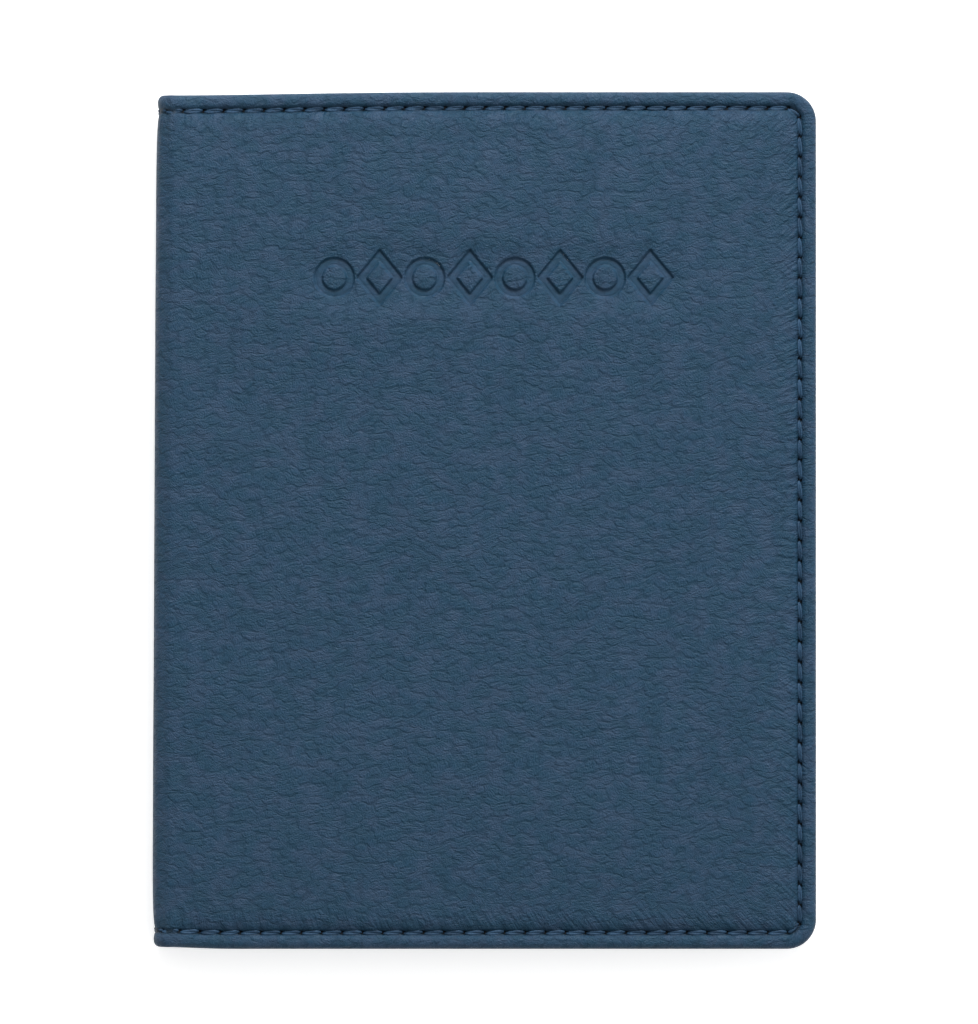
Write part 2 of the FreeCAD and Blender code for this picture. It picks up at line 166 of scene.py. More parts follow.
@dataclass(frozen=True)
class Layout:
    """Places on the holder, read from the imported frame, in millimetres."""

    spine_x: float
    cover_start: float
    fore: float
    head: float
    top: float

    @classmethod
    def from_frame(cls) -> "Layout":
        """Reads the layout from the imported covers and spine.

        Returns:
            The layout of the closed holder.
        """
        low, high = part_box("front_cover_leather")
        spine_low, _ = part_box("spine_leather")
        return cls(spine_low.x / MM, low.x / MM, high.x / MM, high.y / MM, high.z / MM)

    @property
    def bend(self) -> float:
        """Outer radius of each fold."""
        return self.cover_start - self.spine_x

    @property
    def spine_half(self) -> float:
        """Half of the spine's flat, from its middle to the start of a fold."""
        return self.top / 2 - self.bend

    @property
    def fold_end(self) -> float:
        """Distance along the hide from the middle of the spine to the end of the fold."""
        return self.spine_half + math.pi / 2 * self.bend

    @property
    def hide_length(self) -> float:
        """Distance along the hide from the middle of the spine to the fore edge."""
        return self.fold_end + self.fore - self.cover_start

    def fold(self, along: float, across: float, level: float, side: Side,
             wander: bool = True) -> tuple[Vector, Vector]:
        """Places a point of the flat hide on the folded holder.

        Args:
            along: distance from the middle of the spine.
            across: place along the head-to-tail line.
            level: depth inwards from the hide's outer face.
            side: the cover that the point belongs to.
            wander: whether the layer follows the hand-made edges.

        Returns:
            The point and the outward direction there, in millimetres.
        """
        if along <= self.spine_half:
            x, z, out_x, out_z = self.spine_x + level, self.top / 2 + along, -1.0, 0.0
        elif along <= self.fold_end:
            angle = (along - self.spine_half) / self.bend
            radius = max(self.bend - level, TIGHTEST_FOLD)
            out_x, out_z = -math.cos(angle), math.sin(angle)
            x = self.cover_start + radius * out_x
            z = self.top - self.bend + radius * out_z
        else:
            x, z, out_x, out_z = self.cover_start + along - self.fold_end, self.top - level, 0.0, 1.0
        if side is Side.BACK:
            z, out_z = self.top - z, -out_z
        point = Vector((x, across, z))
        return self.relax(point) if wander else point, Vector((out_x, 0.0, out_z))

    def relax(self, point: Vector) -> Vector:
        """Lets hand-made edges wander a little: the spine leans, and both its ends draw in."""
        near = smooth((self.fore * 0.2 - point.x) / (self.fore * 1.2))
        share = point.y / self.head
        by_spine = smooth((self.spine_x + TAIL_DRAW_REACH - point.x) / TAIL_DRAW_REACH)
        lean = SPINE_LEAN * share * near
        head_draw = -HEAD_DRAW * near * near * smooth(share)
        tail_draw = TAIL_DRAW * by_spine * smooth(-share)
        return Vector((point.x + lean, point.y + head_draw + tail_draw, point.z))

    def fold_line(self, side: Side, spine_level: float = 0.0, cover_level: float = 0.0,
                  past: float = 0.0) -> tuple[Vector, Vector]:
        """Finds where a layer starts and stops bending.

        Args:
            side: the cover on the far side of the fold.
            spine_level: the layer's depth on the spine.
            cover_level: the layer's depth on the cover.
            past: how far onto the cover the bend runs.

        Returns:
            The spine end and the cover end of the bend, in metres.
        """
        start = Vector((self.spine_x + spine_level, 0.0, self.top - self.bend))
        end = Vector((self.cover_start + past, 0.0, self.top - cover_level))
        if side is Side.BACK:
            start.z, end.z = self.top - start.z, self.top - end.z
        return start * MM, end * MM


@dataclass(frozen=True)
class Tab:
    """A flat panel with two round corners at its far end, measured from its near end."""

    length: float
    half_width: float
    radius: float

    def round_corner(self, along: float, across: float, inset: float) -> tuple[float, float]:
        """Moves a point of a square ring onto the round one at the same distance from the edge.

        Args:
            along: distance from the near end.
            across: distance from the middle line.
            inset: the ring's distance from the panel's edge.

        Returns:
            The place of the point on the round ring.
        """
        radius = self.radius - inset
        end, half = self.length - inset, self.half_width - inset
        from_end, from_side = end - along, half - abs(across)
        away = max(from_end, from_side)
        if radius <= 0.0 or away >= radius:
            return along, across
        turn = math.pi / 4 * (1.0 - away / radius)
        angle = turn if from_end <= from_side else math.pi / 2 - turn
        half_round = half - radius + radius * math.sin(angle)
        return end - radius + radius * math.cos(angle), math.copysign(half_round, across)

    def seam_length(self, inset: float) -> float:
        """Length of a seam round three sides, corners counted as square."""
        return 2 * (self.length - inset) + 2 * (self.half_width - inset)

    def seam_share(self, along: float, across: float, depth: float, inset: float) -> float:
        """Distance along the seam that a point of the square panel lies beside."""
        straight, side = self.length - inset, 2 * (self.half_width - inset)
        if self.length - along <= self.half_width - abs(across):
            return straight + side * (1.0 - across / max(self.half_width - depth, 1e-6)) / 2
        share = along / max(self.length - depth, 1e-6)
        return straight * share if across > 0 else straight * (2.0 - share) + side

    def seam_place(self, distance: float, inset: float) -> tuple[float, float]:
        """Place on the seam at a distance along it, on the round ring."""
        straight, half = self.length - inset, self.half_width - inset
        if distance <= straight:
            return self.round_corner(distance, half, inset)
        if distance <= straight + 2 * half:
            return self.round_corner(straight, half - (distance - straight), inset)
        return self.round_corner(2 * straight + 2 * half - distance, -half, inset)


@dataclass(frozen=True)
class Seam:
    """A row of lockstitches at a set distance from an edge."""

    inset: float
    pitch_wanted: float
    length: float

    @property
    def count(self) -> int:
        """Whole number of stitches in the seam."""
        return max(1, round(self.length / self.pitch_wanted))

    @property
    def pitch(self) -> float:
        """Distance from one needle hole to the next."""
        return self.length / self.count


# ---- Mesh help ----


def spaced(stretches: list[tuple[float, float]], start: float) -> tuple[int, Callable[[float], float]]:
    """Plans grid lines of changing closeness.

    Args:
        stretches: pairs of a stretch's length and the line spacing wanted in it.
        start: coordinate of the first line.

    Returns:
        The number of cells, and a function from a share of the grid to a coordinate.
    """
    counts = [max(1, round(length / step)) for length, step in stretches]
    total = sum(counts)

    def place(share: float) -> float:
        cells, here = share * total, start
        for count, (length, _) in zip(counts, stretches):
            if cells <= count:
                return here + length * cells / count
            cells, here = cells - count, here + length
        return here

    return total, place


def flat_grid(columns: list[tuple[float, float]], rows: list[tuple[float, float]],
              start: tuple[float, float]) -> BMesh:
    """Makes a flat grid whose lines are spaced as asked, on the plane z = 0."""
    count_x, place_x = spaced(columns, start[0])
    count_y, place_y = spaced(rows, start[1])
    mesh = bmesh.new()
    bmesh.ops.create_grid(mesh, x_segments=count_x, y_segments=count_y, size=0.5)
    for vert in mesh.verts:
        vert.co = Vector((place_x(vert.co.x + 0.5), place_y(vert.co.y + 0.5), 0.0))
    return mesh


def finish_mesh(mesh: BMesh, name: str, flip: bool = False) -> Object:
    """Turns a bmesh in millimetres into an object in metres.

    Args:
        mesh: the shape; it is freed.
        name: the piece's name.
        flip: whether the faces have to be turned over.

    Returns:
        The new object, in the scene.
    """
    if flip:
        bmesh.ops.reverse_faces(mesh, faces=mesh.faces[:])
    bmesh.ops.scale(mesh, vec=Vector((MM, MM, MM)), verts=mesh.verts[:])
    for face in mesh.faces:
        face.smooth = True
    for edge in mesh.edges:
        edge.smooth = not edge.is_boundary
    data = bpy.data.meshes.new(name)
    mesh.to_mesh(data)
    mesh.free()
    piece = bpy.data.objects.new(name, data)
    bpy.context.scene.collection.objects.link(piece)
    return piece


def write_flat_maps(mesh: BMesh, hide: dict[int, tuple[float, float]],
                    seam: dict[int, tuple[float, float]]) -> None:
    """Stores where each point lay on the flat hide and beside its seam, in metres, as UV maps."""
    hide_layer = mesh.loops.layers.uv.new("hide")
    seam_layer = mesh.loops.layers.uv.new("seam")
    for face in mesh.faces:
        for loop in face.loops:
            index = loop.vert.index
            loop[hide_layer].uv = Vector(hide[index]) * MM
            loop[seam_layer].uv = Vector(seam[index]) * MM


def give_wall(piece: Object, thickness: float, rounding: float = 0.0) -> None:
    """Gives a skin its thickness inwards and, if asked, rounds its cut edges."""
    wall = piece.modifiers.new("wall", "SOLIDIFY")
    wall.thickness = thickness * MM
    wall.offset = -1.0
    if rounding:
        edge = piece.modifiers.new("edge", "BEVEL")
        edge.width = rounding * MM
        edge.segments = 2
        edge.limit_method = "ANGLE"
        edge.angle_limit = math.radians(50)


def dress(piece: Object, material: Material) -> None:
    """Gives a piece its finish."""
    piece.data.materials.clear()
    piece.data.materials.append(material)


# ---- The cover leather ----


@dataclass(frozen=True)
class Ornament:
    """A blind-debossed border of rings and lozenges on the front cover."""

    centre_x: float = 1.2
    below_head: float = 30.3
    spacing: float = 7.35
    count: int = 8
    ring_radius: float = 2.6
    lozenge_half_width: float = 2.95
    lozenge_half_height: float = 3.6
    stroke: float = 1.25
    depth: float = 0.42
    softness: float = 0.12
    halo: float = 3.2
    rim_depth: float = 0.15
    draw_depth: float = 0.15
    draw_reach: float = 1.4
    dish_depth: float = 0.20
    centre_swell: float = 0.16

    def stroke_distance(self, x: float, y: float) -> tuple[float, float]:
        """Measures how far a point is from the nearest stroke.

        Args:
            x: place from the middle of the border towards the fore edge.
            y: place from the middle of the border towards the head.

        Returns:
            The distance outside the stroke, negative inside it, and the distance from the
            middle line of the stroke, negative in the motif's own centre.
        """
        last = self.count - 1
        number = min(max(round(x / self.spacing + last / 2), 0), last)
        from_x = x - (number - last / 2) * self.spacing
        if number % 2:
            wide, tall = self.lozenge_half_width, self.lozenge_half_height
            slope = wide * tall / math.hypot(wide, tall)
            line = (abs(from_x) / wide + abs(y) / tall - 1.0) * slope
        else:
            line = math.hypot(from_x, y) - self.ring_radius
        return abs(line) - self.stroke / 2, line

    def depth_at(self, x: float, y: float, head: float) -> float:
        """Depth that the stamp leaves at a place on the front cover."""
        from_x, from_y = x - self.centre_x, y - (head - self.below_head)
        past_x = max(abs(from_x) - self.spacing * self.count / 2, 0.0)
        past_y = max(abs(from_y) - self.lozenge_half_height, 0.0)
        past = math.hypot(past_x, past_y)
        if past > self.halo:
            return 0.0
        outside, line = self.stroke_distance(from_x, from_y)
        pressed = self.depth * smooth(0.5 - outside / (2 * self.softness))
        rim = self.rim_depth * math.exp(-(((outside + 0.05) / 0.17) ** 2))
        beyond = math.exp(-((max(outside, 0.0) / self.draw_reach) ** 2))
        drawn_down = self.draw_depth * beyond if line > 0 else self.draw_depth
        drawn_down += self.dish_depth * smooth(1.0 - past / self.halo)
        swollen = -self.centre_swell * smooth(-line / self.ring_radius) if line < 0 else 0.0
        return pressed + rim + drawn_down + swollen

    def pressed_share(self, x: float, y: float, head: float) -> float:
        """1 where the stamp has smoothed the leather and 0 elsewhere."""
        outside, _ = self.stroke_distance(x - self.centre_x, y - (head - self.below_head))
        return smooth(0.5 - outside / 0.3)


@dataclass
class CoverHide:
    """Half of the cover leather: one cover, its fold and its half of the spine, with hems."""

    layout: Layout
    side: Side
    corner_radius: float = COVER_CORNER
    hem_width: float = 9.0
    bead_inset: float = 1.15
    seam_inset: float = COVER_SEAM_INSET
    stitch_pitch: float = STITCH_PITCH
    wall: float = 0.48
    cover_hem_level: float = 3.0
    spine_hem_level: float = 2.2
    fold_hem_level: float = 1.9
    cover_bead_level: float = 1.0
    spine_bead_level: float = 0.25
    cover_valley: float = 1.72
    spine_valley: float = 0.62
    crown_reach: float = 4.6
    tight_share: float = 0.46
    tight_reach: float = 0.85
    broad_share: float = 0.54
    stitch_pull: float = 0.07
    unevenness: float = 0.05
    pucker_depth: float = 0.11
    pucker_noise: float = 0.10
    pucker_reach: float = 1.5
    tuck_depth: float = 0.07
    tuck_reach: float = 5.0
    crease_depth: float = 0.20
    crease_before_cover: float = 1.5
    crease_width: float = 0.9
    slow_wave: float = 0.16
    quick_wave: float = 0.06
    wave_sink: float = 0.10
    spine_wave: float = 0.05
    ornament: Ornament = field(default_factory=Ornament)

    def __post_init__(self) -> None:
        """Works out the lengths that the turned edge takes up on the flat hide."""
        self.outline = Tab(self.layout.hide_length, self.layout.head, self.corner_radius)
        self.seam = Seam(self.seam_inset, self.stitch_pitch, self.outline.seam_length(self.seam_inset))
        self.hem_run = self.hem_width - self.bead_inset
        self.roll_run = math.pi * 1.08
        self.turned = self.hem_run + self.roll_run - self.bead_inset

    # -- the hide's section --

    def cover_share(self, along: float) -> float:
        """0 over the spine and the fold, rising to 1 over the padded cover."""
        start = self.layout.fold_end - 1.5
        return smooth((along - start) / 8.0)

    def hem_level(self, along: float) -> float:
        """Depth of the turned-in edge's inner face."""
        fold_start, fold_end = self.layout.spine_half, self.layout.fold_end
        if along < (fold_start + fold_end) / 2:
            return mix(self.spine_hem_level, self.fold_hem_level, smooth((along - fold_start + 1.0) / 2.0))
        return mix(self.fold_hem_level, self.cover_hem_level, smooth((along - fold_end + 0.9) / 1.7))

    def bead_level(self, along: float) -> float:
        """Depth of the top of the turned edge."""
        return mix(self.spine_bead_level, self.cover_bead_level, self.cover_share(along))

    def valley_level(self, along: float) -> float:
        """Depth that the stitches pull the leather down to."""
        return mix(self.spine_valley, self.cover_valley, self.cover_share(along))

    def rise(self, from_edge: float) -> float:
        """Share of the padding's height that is reached at a distance from the outline."""
        return 1.0 - math.exp(-max(from_edge - self.seam_inset, 0.0) / self.crown_reach)

    def face_level(self, along: float, across: float, inset: float, seam_at: float) -> float:
        """Depth of the outer face at a place on the flat hide.

        Args:
            along: distance from the middle of the spine.
            across: place along the head-to-tail line.
            inset: distance from the cut outline.
            seam_at: distance along the seam that the place lies beside.

        Returns:
            The depth inwards from the highest plane of the cover.
        """
        bead, valley = self.bead_level(along), self.valley_level(along)
        phase = math.cos(2 * math.pi * seam_at / self.seam.pitch)
        if inset < self.seam_inset:
            share = (inset - self.bead_inset) / (self.seam_inset - self.bead_inset)
            pull = self.stitch_pull * phase * smooth(share)
            uneven = self.unevenness * ripple(seam_at, inset, 3.1, 7.0)
            return mix(bead, valley, smooth(share) ** 2.6) + pull + uneven
        past = inset - self.seam_inset
        tight = self.tight_share * valley * math.exp(-past / self.tight_reach)
        rise_far = self.rise(self.layout.hide_length - along)
        rise_side = self.rise(self.layout.head - abs(across))
        broad = self.broad_share * valley * (1.0 - rise_far * rise_side)
        wrinkle = self.pucker_depth * phase + self.pucker_noise * ripple(seam_at, past * 0.35, 1.5, 3.0)
        pucker = wrinkle * math.exp(-past / self.pucker_reach)
        tuck = self.tuck_depth * ripple(seam_at, past * 0.3, 3.4, 5.0) * math.exp(-past / self.tuck_reach)
        tuck *= self.cover_share(along)
        from_crease = (along - self.layout.fold_end + self.crease_before_cover) / self.crease_width
        crease = self.crease_depth * math.exp(-(from_crease ** 2))
        return tight + broad + pucker + tuck + crease + self.swell(along, across)

    def swell(self, along: float, across: float) -> float:
        """Slow waves that use and padding leave in the field."""
        calm = smooth((along - self.layout.fold_end + 3.0) / 12.0)
        layer = 1.0 if self.side is Side.FRONT else 21.0
        slow = self.slow_wave * ripple(along, across * 1.4, 19.0, layer)
        quick = self.quick_wave * ripple(along * 0.7, across * 1.3, 7.0, layer)
        return (slow + quick + self.wave_sink) * calm + self.spine_wave * ripple(along, across, 17.0, 5.0)

    def locate(self, cut_x: float, cut_y: float) -> tuple[float, float, float, float, float]:
        """Finds where a point of the cut hide ends up once its edges are turned in.

        Args:
            cut_x: distance from the middle of the spine on the cut hide.
            cut_y: distance from the middle line on the cut hide.

        Returns:
            The place along and across the finished cover, its depth, its distance from the
            finished outline and its distance along the seam.
        """
        length, half = self.outline.length + self.turned, self.outline.half_width + self.turned
        depth = min(length - cut_x, half - abs(cut_y))
        roll = (depth - self.hem_run) / self.roll_run
        if roll < 0.0:
            inset = self.hem_width - depth
        elif roll < 1.0:
            inset = self.bead_inset * (1.0 - math.cos(math.pi * (roll - 0.5)))
        else:
            inset = depth - self.turned
        along = cut_x * (self.outline.length - inset) / (length - depth)
        across = cut_y * (self.outline.half_width - inset) / max(half - depth, 1e-6)
        seam_at = self.outline.seam_share(along, across, inset, self.seam_inset)
        along, across = self.outline.round_corner(along, across, inset)
        if roll < 0.0:
            level = self.hem_level(along) + self.unevenness * ripple(cut_x, cut_y, 6.0, 9.0)
        elif roll < 1.0:
            bottom, top = self.hem_level(along), self.bead_level(along)
            top += self.unevenness * ripple(seam_at, self.bead_inset, 3.1, 7.0)
            level = (bottom + top) / 2 - (bottom - top) / 2 * math.sin(math.pi * (roll - 0.5))
        else:
            level = self.face_level(along, across, inset, seam_at)
        return along, across, level, inset, seam_at

    # -- building --

    def flat_cut(self) -> BMesh:
        """Lays out the cut hide as a flat grid, closer where the section changes quickly.

        Returns:
            The grid, in the cut hide's own coordinates.
        """
        edge = self.turned - self.hem_run + 5.0
        fold = self.layout.fold_end + 2.0
        length, half = self.outline.length + self.turned, self.outline.half_width + self.turned
        field_length = length - fold - edge - self.hem_run
        field_half = half - edge - self.hem_run
        close, mid, wide = 0.25, 0.5, 0.8
        columns = [(fold, mid), (field_length, wide), (edge, close), (self.hem_run, 1.0)]
        hem_and_edge = [(self.hem_run, 1.0), (edge, close)]
        rows = [*hem_and_edge, (2 * field_half, wide), *reversed(hem_and_edge)]
        mesh = flat_grid(columns, rows, (0.0, -half))
        self.refine_edge(mesh, length, half, edge)
        if self.side is Side.FRONT:
            self.refine_ornament(mesh)
        return mesh

    def refine_edge(self, mesh: BMesh, length: float, half: float, edge: float) -> None:
        """Halves the cells beside the seam along its run, so that puckers keep their shape."""
        chosen = []
        for line in mesh.edges:
            middle = (line.verts[0].co + line.verts[1].co) / 2
            from_end, from_side = length - middle.x, half - abs(middle.y)
            level_line = abs(line.verts[0].co.y - line.verts[1].co.y) < 1e-6
            depth, other = (from_side, from_end) if level_line else (from_end, from_side)
            beside = self.hem_run - 0.01 < depth < self.hem_run + edge + 0.01
            if beside and other > self.hem_run + edge and line.calc_length() > 0.6:
                chosen.append(line)
        bmesh.ops.subdivide_edges(mesh, edges=chosen, cuts=1, use_grid_fill=True)

    def refine_ornament(self, mesh: BMesh) -> None:
        """Divides the cells under the stamped border finely enough for its strokes."""
        stamp = self.ornament
        middle_x = self.layout.fold_end + stamp.centre_x - self.layout.cover_start
        middle_y = self.layout.head - stamp.below_head
        half_x, half_y = stamp.spacing * stamp.count / 2 + 0.5, stamp.lozenge_half_height + 1.4
        edges = {line for face in mesh.faces for line in face.edges
                 if abs(face.calc_center_median().x - middle_x) < half_x
                 and abs(face.calc_center_median().y - middle_y) < half_y}
        bmesh.ops.subdivide_edges(mesh, edges=list(edges), cuts=4, use_grid_fill=True)

    def build(self) -> Object:
        """Folds the cut hide into the finished half of the cover.

        Returns:
            The piece, with its wall thickness as a modifier.
        """
        mesh = self.flat_cut()
        mesh.verts.index_update()
        pressed = mesh.verts.layers.float.new("pressed")
        hide_map, seam_map = {}, {}
        for vert in mesh.verts:
            cut_x, cut_y = vert.co.x, vert.co.y
            along, across, level, inset, seam_at = self.locate(cut_x, cut_y)
            point, _ = self.layout.fold(along, across, level, self.side)
            if self.side is Side.FRONT and inset > self.seam_inset + 4.0:
                point.z -= self.ornament.depth_at(point.x, point.y, self.layout.head)
                vert[pressed] = self.ornament.pressed_share(point.x, point.y, self.layout.head)
            hide_map[vert.index] = (cut_x if self.side is Side.FRONT else -cut_x, cut_y)
            seam_map[vert.index] = (seam_at, inset)
            vert.co = point
        write_flat_maps(mesh, hide_map, seam_map)
        piece = finish_mesh(mesh, f"{self.side.value}_cover_hide", flip=self.side is Side.BACK)
        give_wall(piece, self.wall)
        return piece

    def seam_points(self, level_of: Callable[[float], float]) -> Iterable[tuple[Vector, Vector]]:
        """Yields each needle hole and the outward direction there.

        Args:
            level_of: depth of the holes as a function of the distance from the spine's middle.
        """
        for number in range(self.seam.count + 1):
            along, across = self.outline.seam_place(number * self.seam.pitch, self.seam_inset)
            yield self.layout.fold(along, across, level_of(along), self.side)


# ---- Threads ----


@dataclass(frozen=True)
class Stitch:
    """One lockstitch of two-ply thread, lying between two needle holes."""

    ply_radius: float = 0.26
    ply_offset: float = 0.22
    twist: float = 1.7
    dive: float = 0.42
    overlap: float = 1.02

    def template(self, length: float) -> BMesh:
        """Makes a stitch along X with its middle at the origin and its outside towards +Z.

        Args:
            length: distance between the two needle holes.

        Returns:
            The stitch: two plies that twist round each other and dive at both ends.
        """
        mesh = bmesh.new()
        for start in (0.0, math.pi):
            made = bmesh.ops.create_uvsphere(mesh, u_segments=6, v_segments=6, radius=1.0)
            for vert in made["verts"]:
                share, ring_x, ring_y = vert.co.z, vert.co.x, vert.co.y
                fullness = 0.45 + 0.55 * math.sqrt(max(0.0, 1.0 - share ** 4))
                around = math.hypot(ring_x, ring_y)
                scale = self.ply_radius * (1.0 if around > 1e-4 else 0.0) / max(around, 1e-4)
                angle = start + self.twist * share
                centre_y = self.ply_offset * math.cos(angle) * fullness
                centre_z = self.ply_offset * math.sin(angle) * 0.4 * fullness - self.dive * share ** 6
                vert.co = Vector((share * length / 2 * self.overlap,
                                  centre_y + ring_x * scale * fullness,
                                  centre_z + ring_y * scale * fullness))
        return mesh


@dataclass
class ThreadRun:
    """Collects stitches into one piece."""

    name: str
    stitch: Stitch = field(default_factory=Stitch)
    seed: int = 11

    def __post_init__(self) -> None:
        """Starts with no stitches laid."""
        self.mesh = bmesh.new()
        self.chance = random.Random(self.seed)
        self.laid = 0

    def lay(self, start: Vector, end: Vector, outward: Vector) -> None:
        """Adds one stitch from one needle hole to the next.

        Args:
            start: the first hole, in millimetres.
            end: the second hole, in millimetres.
            outward: the direction that the stitch shows in.
        """
        along = end - start
        length = along.length
        along.normalize()
        side = outward.cross(along).normalized()
        up = along.cross(side)
        slant = Matrix.Rotation(math.radians(6.0 + self.chance.uniform(-2.5, 2.5)), 4, "Z")
        frame = Matrix((along, side, up)).transposed().to_4x4()
        frame.translation = (start + end) / 2
        template = self.stitch.template(length)
        bmesh.ops.transform(template, matrix=frame @ slant, verts=template.verts[:])
        keep = bpy.data.meshes.new("stitch")
        template.to_mesh(keep)
        template.free()
        self.mesh.from_mesh(keep)
        bpy.data.meshes.remove(keep)
        self.laid += 1

    def lay_all(self, holes: Iterable[tuple[Vector, Vector]]) -> None:
        """Adds a stitch between each two neighbouring holes."""
        known = list(holes)
        for (start, out_start), (end, out_end) in zip(known, known[1:]):
            self.lay(start, end, (out_start + out_end).normalized())

    def build(self) -> Object:
        """Returns the finished run of stitches."""
        return finish_mesh(self.mesh, self.name)


# ---- Flat pieces inside ----


@dataclass
class LeatherPanel:
    """A sleeve or card slot: flat leather, open at its near end and sewn round the rest."""

    name: str
    side: Side
    tab: Tab
    mouth: Vector
    inwards: Vector
    level: float
    thickness: float
    seam_inset: float
    top: float
    stitch_pitch: float = STITCH_PITCH
    lift: float = 0.12
    turned_edge: float = 0.10
    turned_width: float = 5.2
    score_at: float = 1.6
    score_depth: float = 0.10
    score_width: float = 0.25
    valley_depth: float = 0.16
    valley_width: float = 0.55
    stitch_pull: float = 0.07
    opening_reach: float = 9.0
    layer: float = 31.0

    def __post_init__(self) -> None:
        """Works out the panel's seam and its directions."""
        self.seam = Seam(self.seam_inset, self.stitch_pitch, self.tab.seam_length(self.seam_inset))
        self.facing = Vector((0, 0, 1)) if self.side is Side.BACK else Vector((0, 0, -1))
        self.sideways = self.facing.cross(self.inwards)

    def place(self, along: float, across: float, rise: float) -> Vector:
        """Returns the point at a place on the panel, raised towards the passport by `rise`."""
        base = self.level if self.side is Side.BACK else self.top - self.level
        flat = self.mouth + self.inwards * along + self.sideways * across
        return Vector((flat.x, flat.y, base)) + self.facing * rise

    def rise(self, along: float, across: float, inset: float, seam_at: float) -> float:
        """Height of the leather's face above its flat level."""
        beside = (inset - self.seam_inset) / self.valley_width
        phase = 0.5 + 0.5 * math.cos(2 * math.pi * seam_at / self.seam.pitch)
        valley = -(self.valley_depth + self.stitch_pull * phase) * math.exp(-beside * beside)
        scored = self.score_depth * math.exp(-(((along - self.score_at) / self.score_width) ** 2))
        crease = self.turned_edge * smooth((self.turned_width - along) / 0.5) - scored
        middle = 1.0 - (across / self.tab.half_width) ** 2
        opening = self.lift * middle * math.exp(-along / self.opening_reach)
        waves = 0.05 * ripple(along, across, 16.0, self.layer) * smooth(inset / 6.0)
        return valley + crease + opening + waves

    def build(self) -> Object:
        """Makes the panel as a thin, closed piece of leather.

        Returns:
            The piece.
        """
        edge, half = 4.0, self.tab.half_width
        columns = [(6.3, 0.3), (self.tab.length - 6.3 - edge, 1.4), (edge, 0.4)]
        rows = [(edge, 0.4), (2 * (half - edge), 1.4), (edge, 0.4)]
        mesh = flat_grid(columns, rows, (0.0, -half))
        mesh.verts.index_update()
        hide_map, seam_map = {}, {}
        for vert in mesh.verts:
            flat_x, flat_y = vert.co.x, vert.co.y
            inset = min(self.tab.length - flat_x, half - abs(flat_y))
            seam_at = self.tab.seam_share(flat_x, flat_y, inset, self.seam_inset)
            along, across = self.tab.round_corner(flat_x, flat_y, inset)
            hide_map[vert.index] = (along + 200.0 + self.layer * 7.0, across)
            seam_map[vert.index] = (seam_at, inset)
            vert.co = self.place(along, across, self.rise(along, across, inset, seam_at))
        write_flat_maps(mesh, hide_map, seam_map)
        piece = finish_mesh(mesh, self.name)
        give_wall(piece, self.thickness, rounding=0.16)
        return piece

    def seam_points(self, first: float = 0.0, last: float | None = None) -> Iterable[tuple[Vector, Vector]]:
        """Yields needle holes from one distance along the seam to another."""
        last = self.seam.length if last is None else last
        for number in range(self.seam.count + 1):
            distance = number * self.seam.pitch
            if first - 1e-6 <= distance <= last + 1e-6:
                along, across = self.tab.seam_place(distance, self.seam_inset)
                yield self.place(along, across, 0.0), self.facing


@dataclass
class LiningCloth:
    """Lining fabric of one cover, its fold and its half of the spine."""

    layout: Layout
    side: Side
    end_inset: float = 8.4
    side_inset: float = 8.4
    cover_level: float = 2.52
    fold_level: float = 1.74
    spine_level: float = 1.72
    wall: float = 0.16

    @property
    def length(self) -> float:
        """Flat length of the cloth from the middle of the spine."""
        return self.layout.hide_length - self.end_inset

    @property
    def half_width(self) -> float:
        """Half of the cloth's flat height."""
        return self.layout.head - self.side_inset

    def level(self, along: float, across: float) -> float:
        """Depth of the cloth's inner face, with the slack that lets the fold open flat."""
        start, end = self.layout.spine_half, self.layout.fold_end
        if along < (start + end) / 2:
            base = mix(self.spine_level, self.fold_level, smooth((along - start + 1.0) / 2.0))
        else:
            base = mix(self.fold_level, self.cover_level, smooth((along - end + 0.9) / 1.4))
        near_fold = math.exp(-(((along - end) / 3.0) ** 2))
        slack = 0.10 * near_fold * ripple(along * 3.0, across, 6.0, 41.0)
        return base + slack + 0.03 * ripple(along, across, 11.0, 43.0)

    def build(self) -> Object:
        """Makes the cloth.

        Returns:
            The piece.
        """
        fold = self.layout.fold_end + 4.0
        columns = [(fold, 0.45), (self.length - fold, 2.0)]
        mesh = flat_grid(columns, [(2 * self.half_width, 1.5)], (0.0, -self.half_width))
        mesh.verts.index_update()
        flat_map = {}
        for vert in mesh.verts:
            along, across = vert.co.x, vert.co.y
            flat_map[vert.index] = (along if self.side is Side.FRONT else -along, across)
            vert.co, _ = self.layout.fold(along, across, self.level(along, across), self.side, wander=False)
        write_flat_maps(mesh, flat_map, flat_map)
        piece = finish_mesh(mesh, f"{self.side.value}_lining_cloth", flip=self.side is Side.FRONT)
        give_wall(piece, self.wall)
        return piece


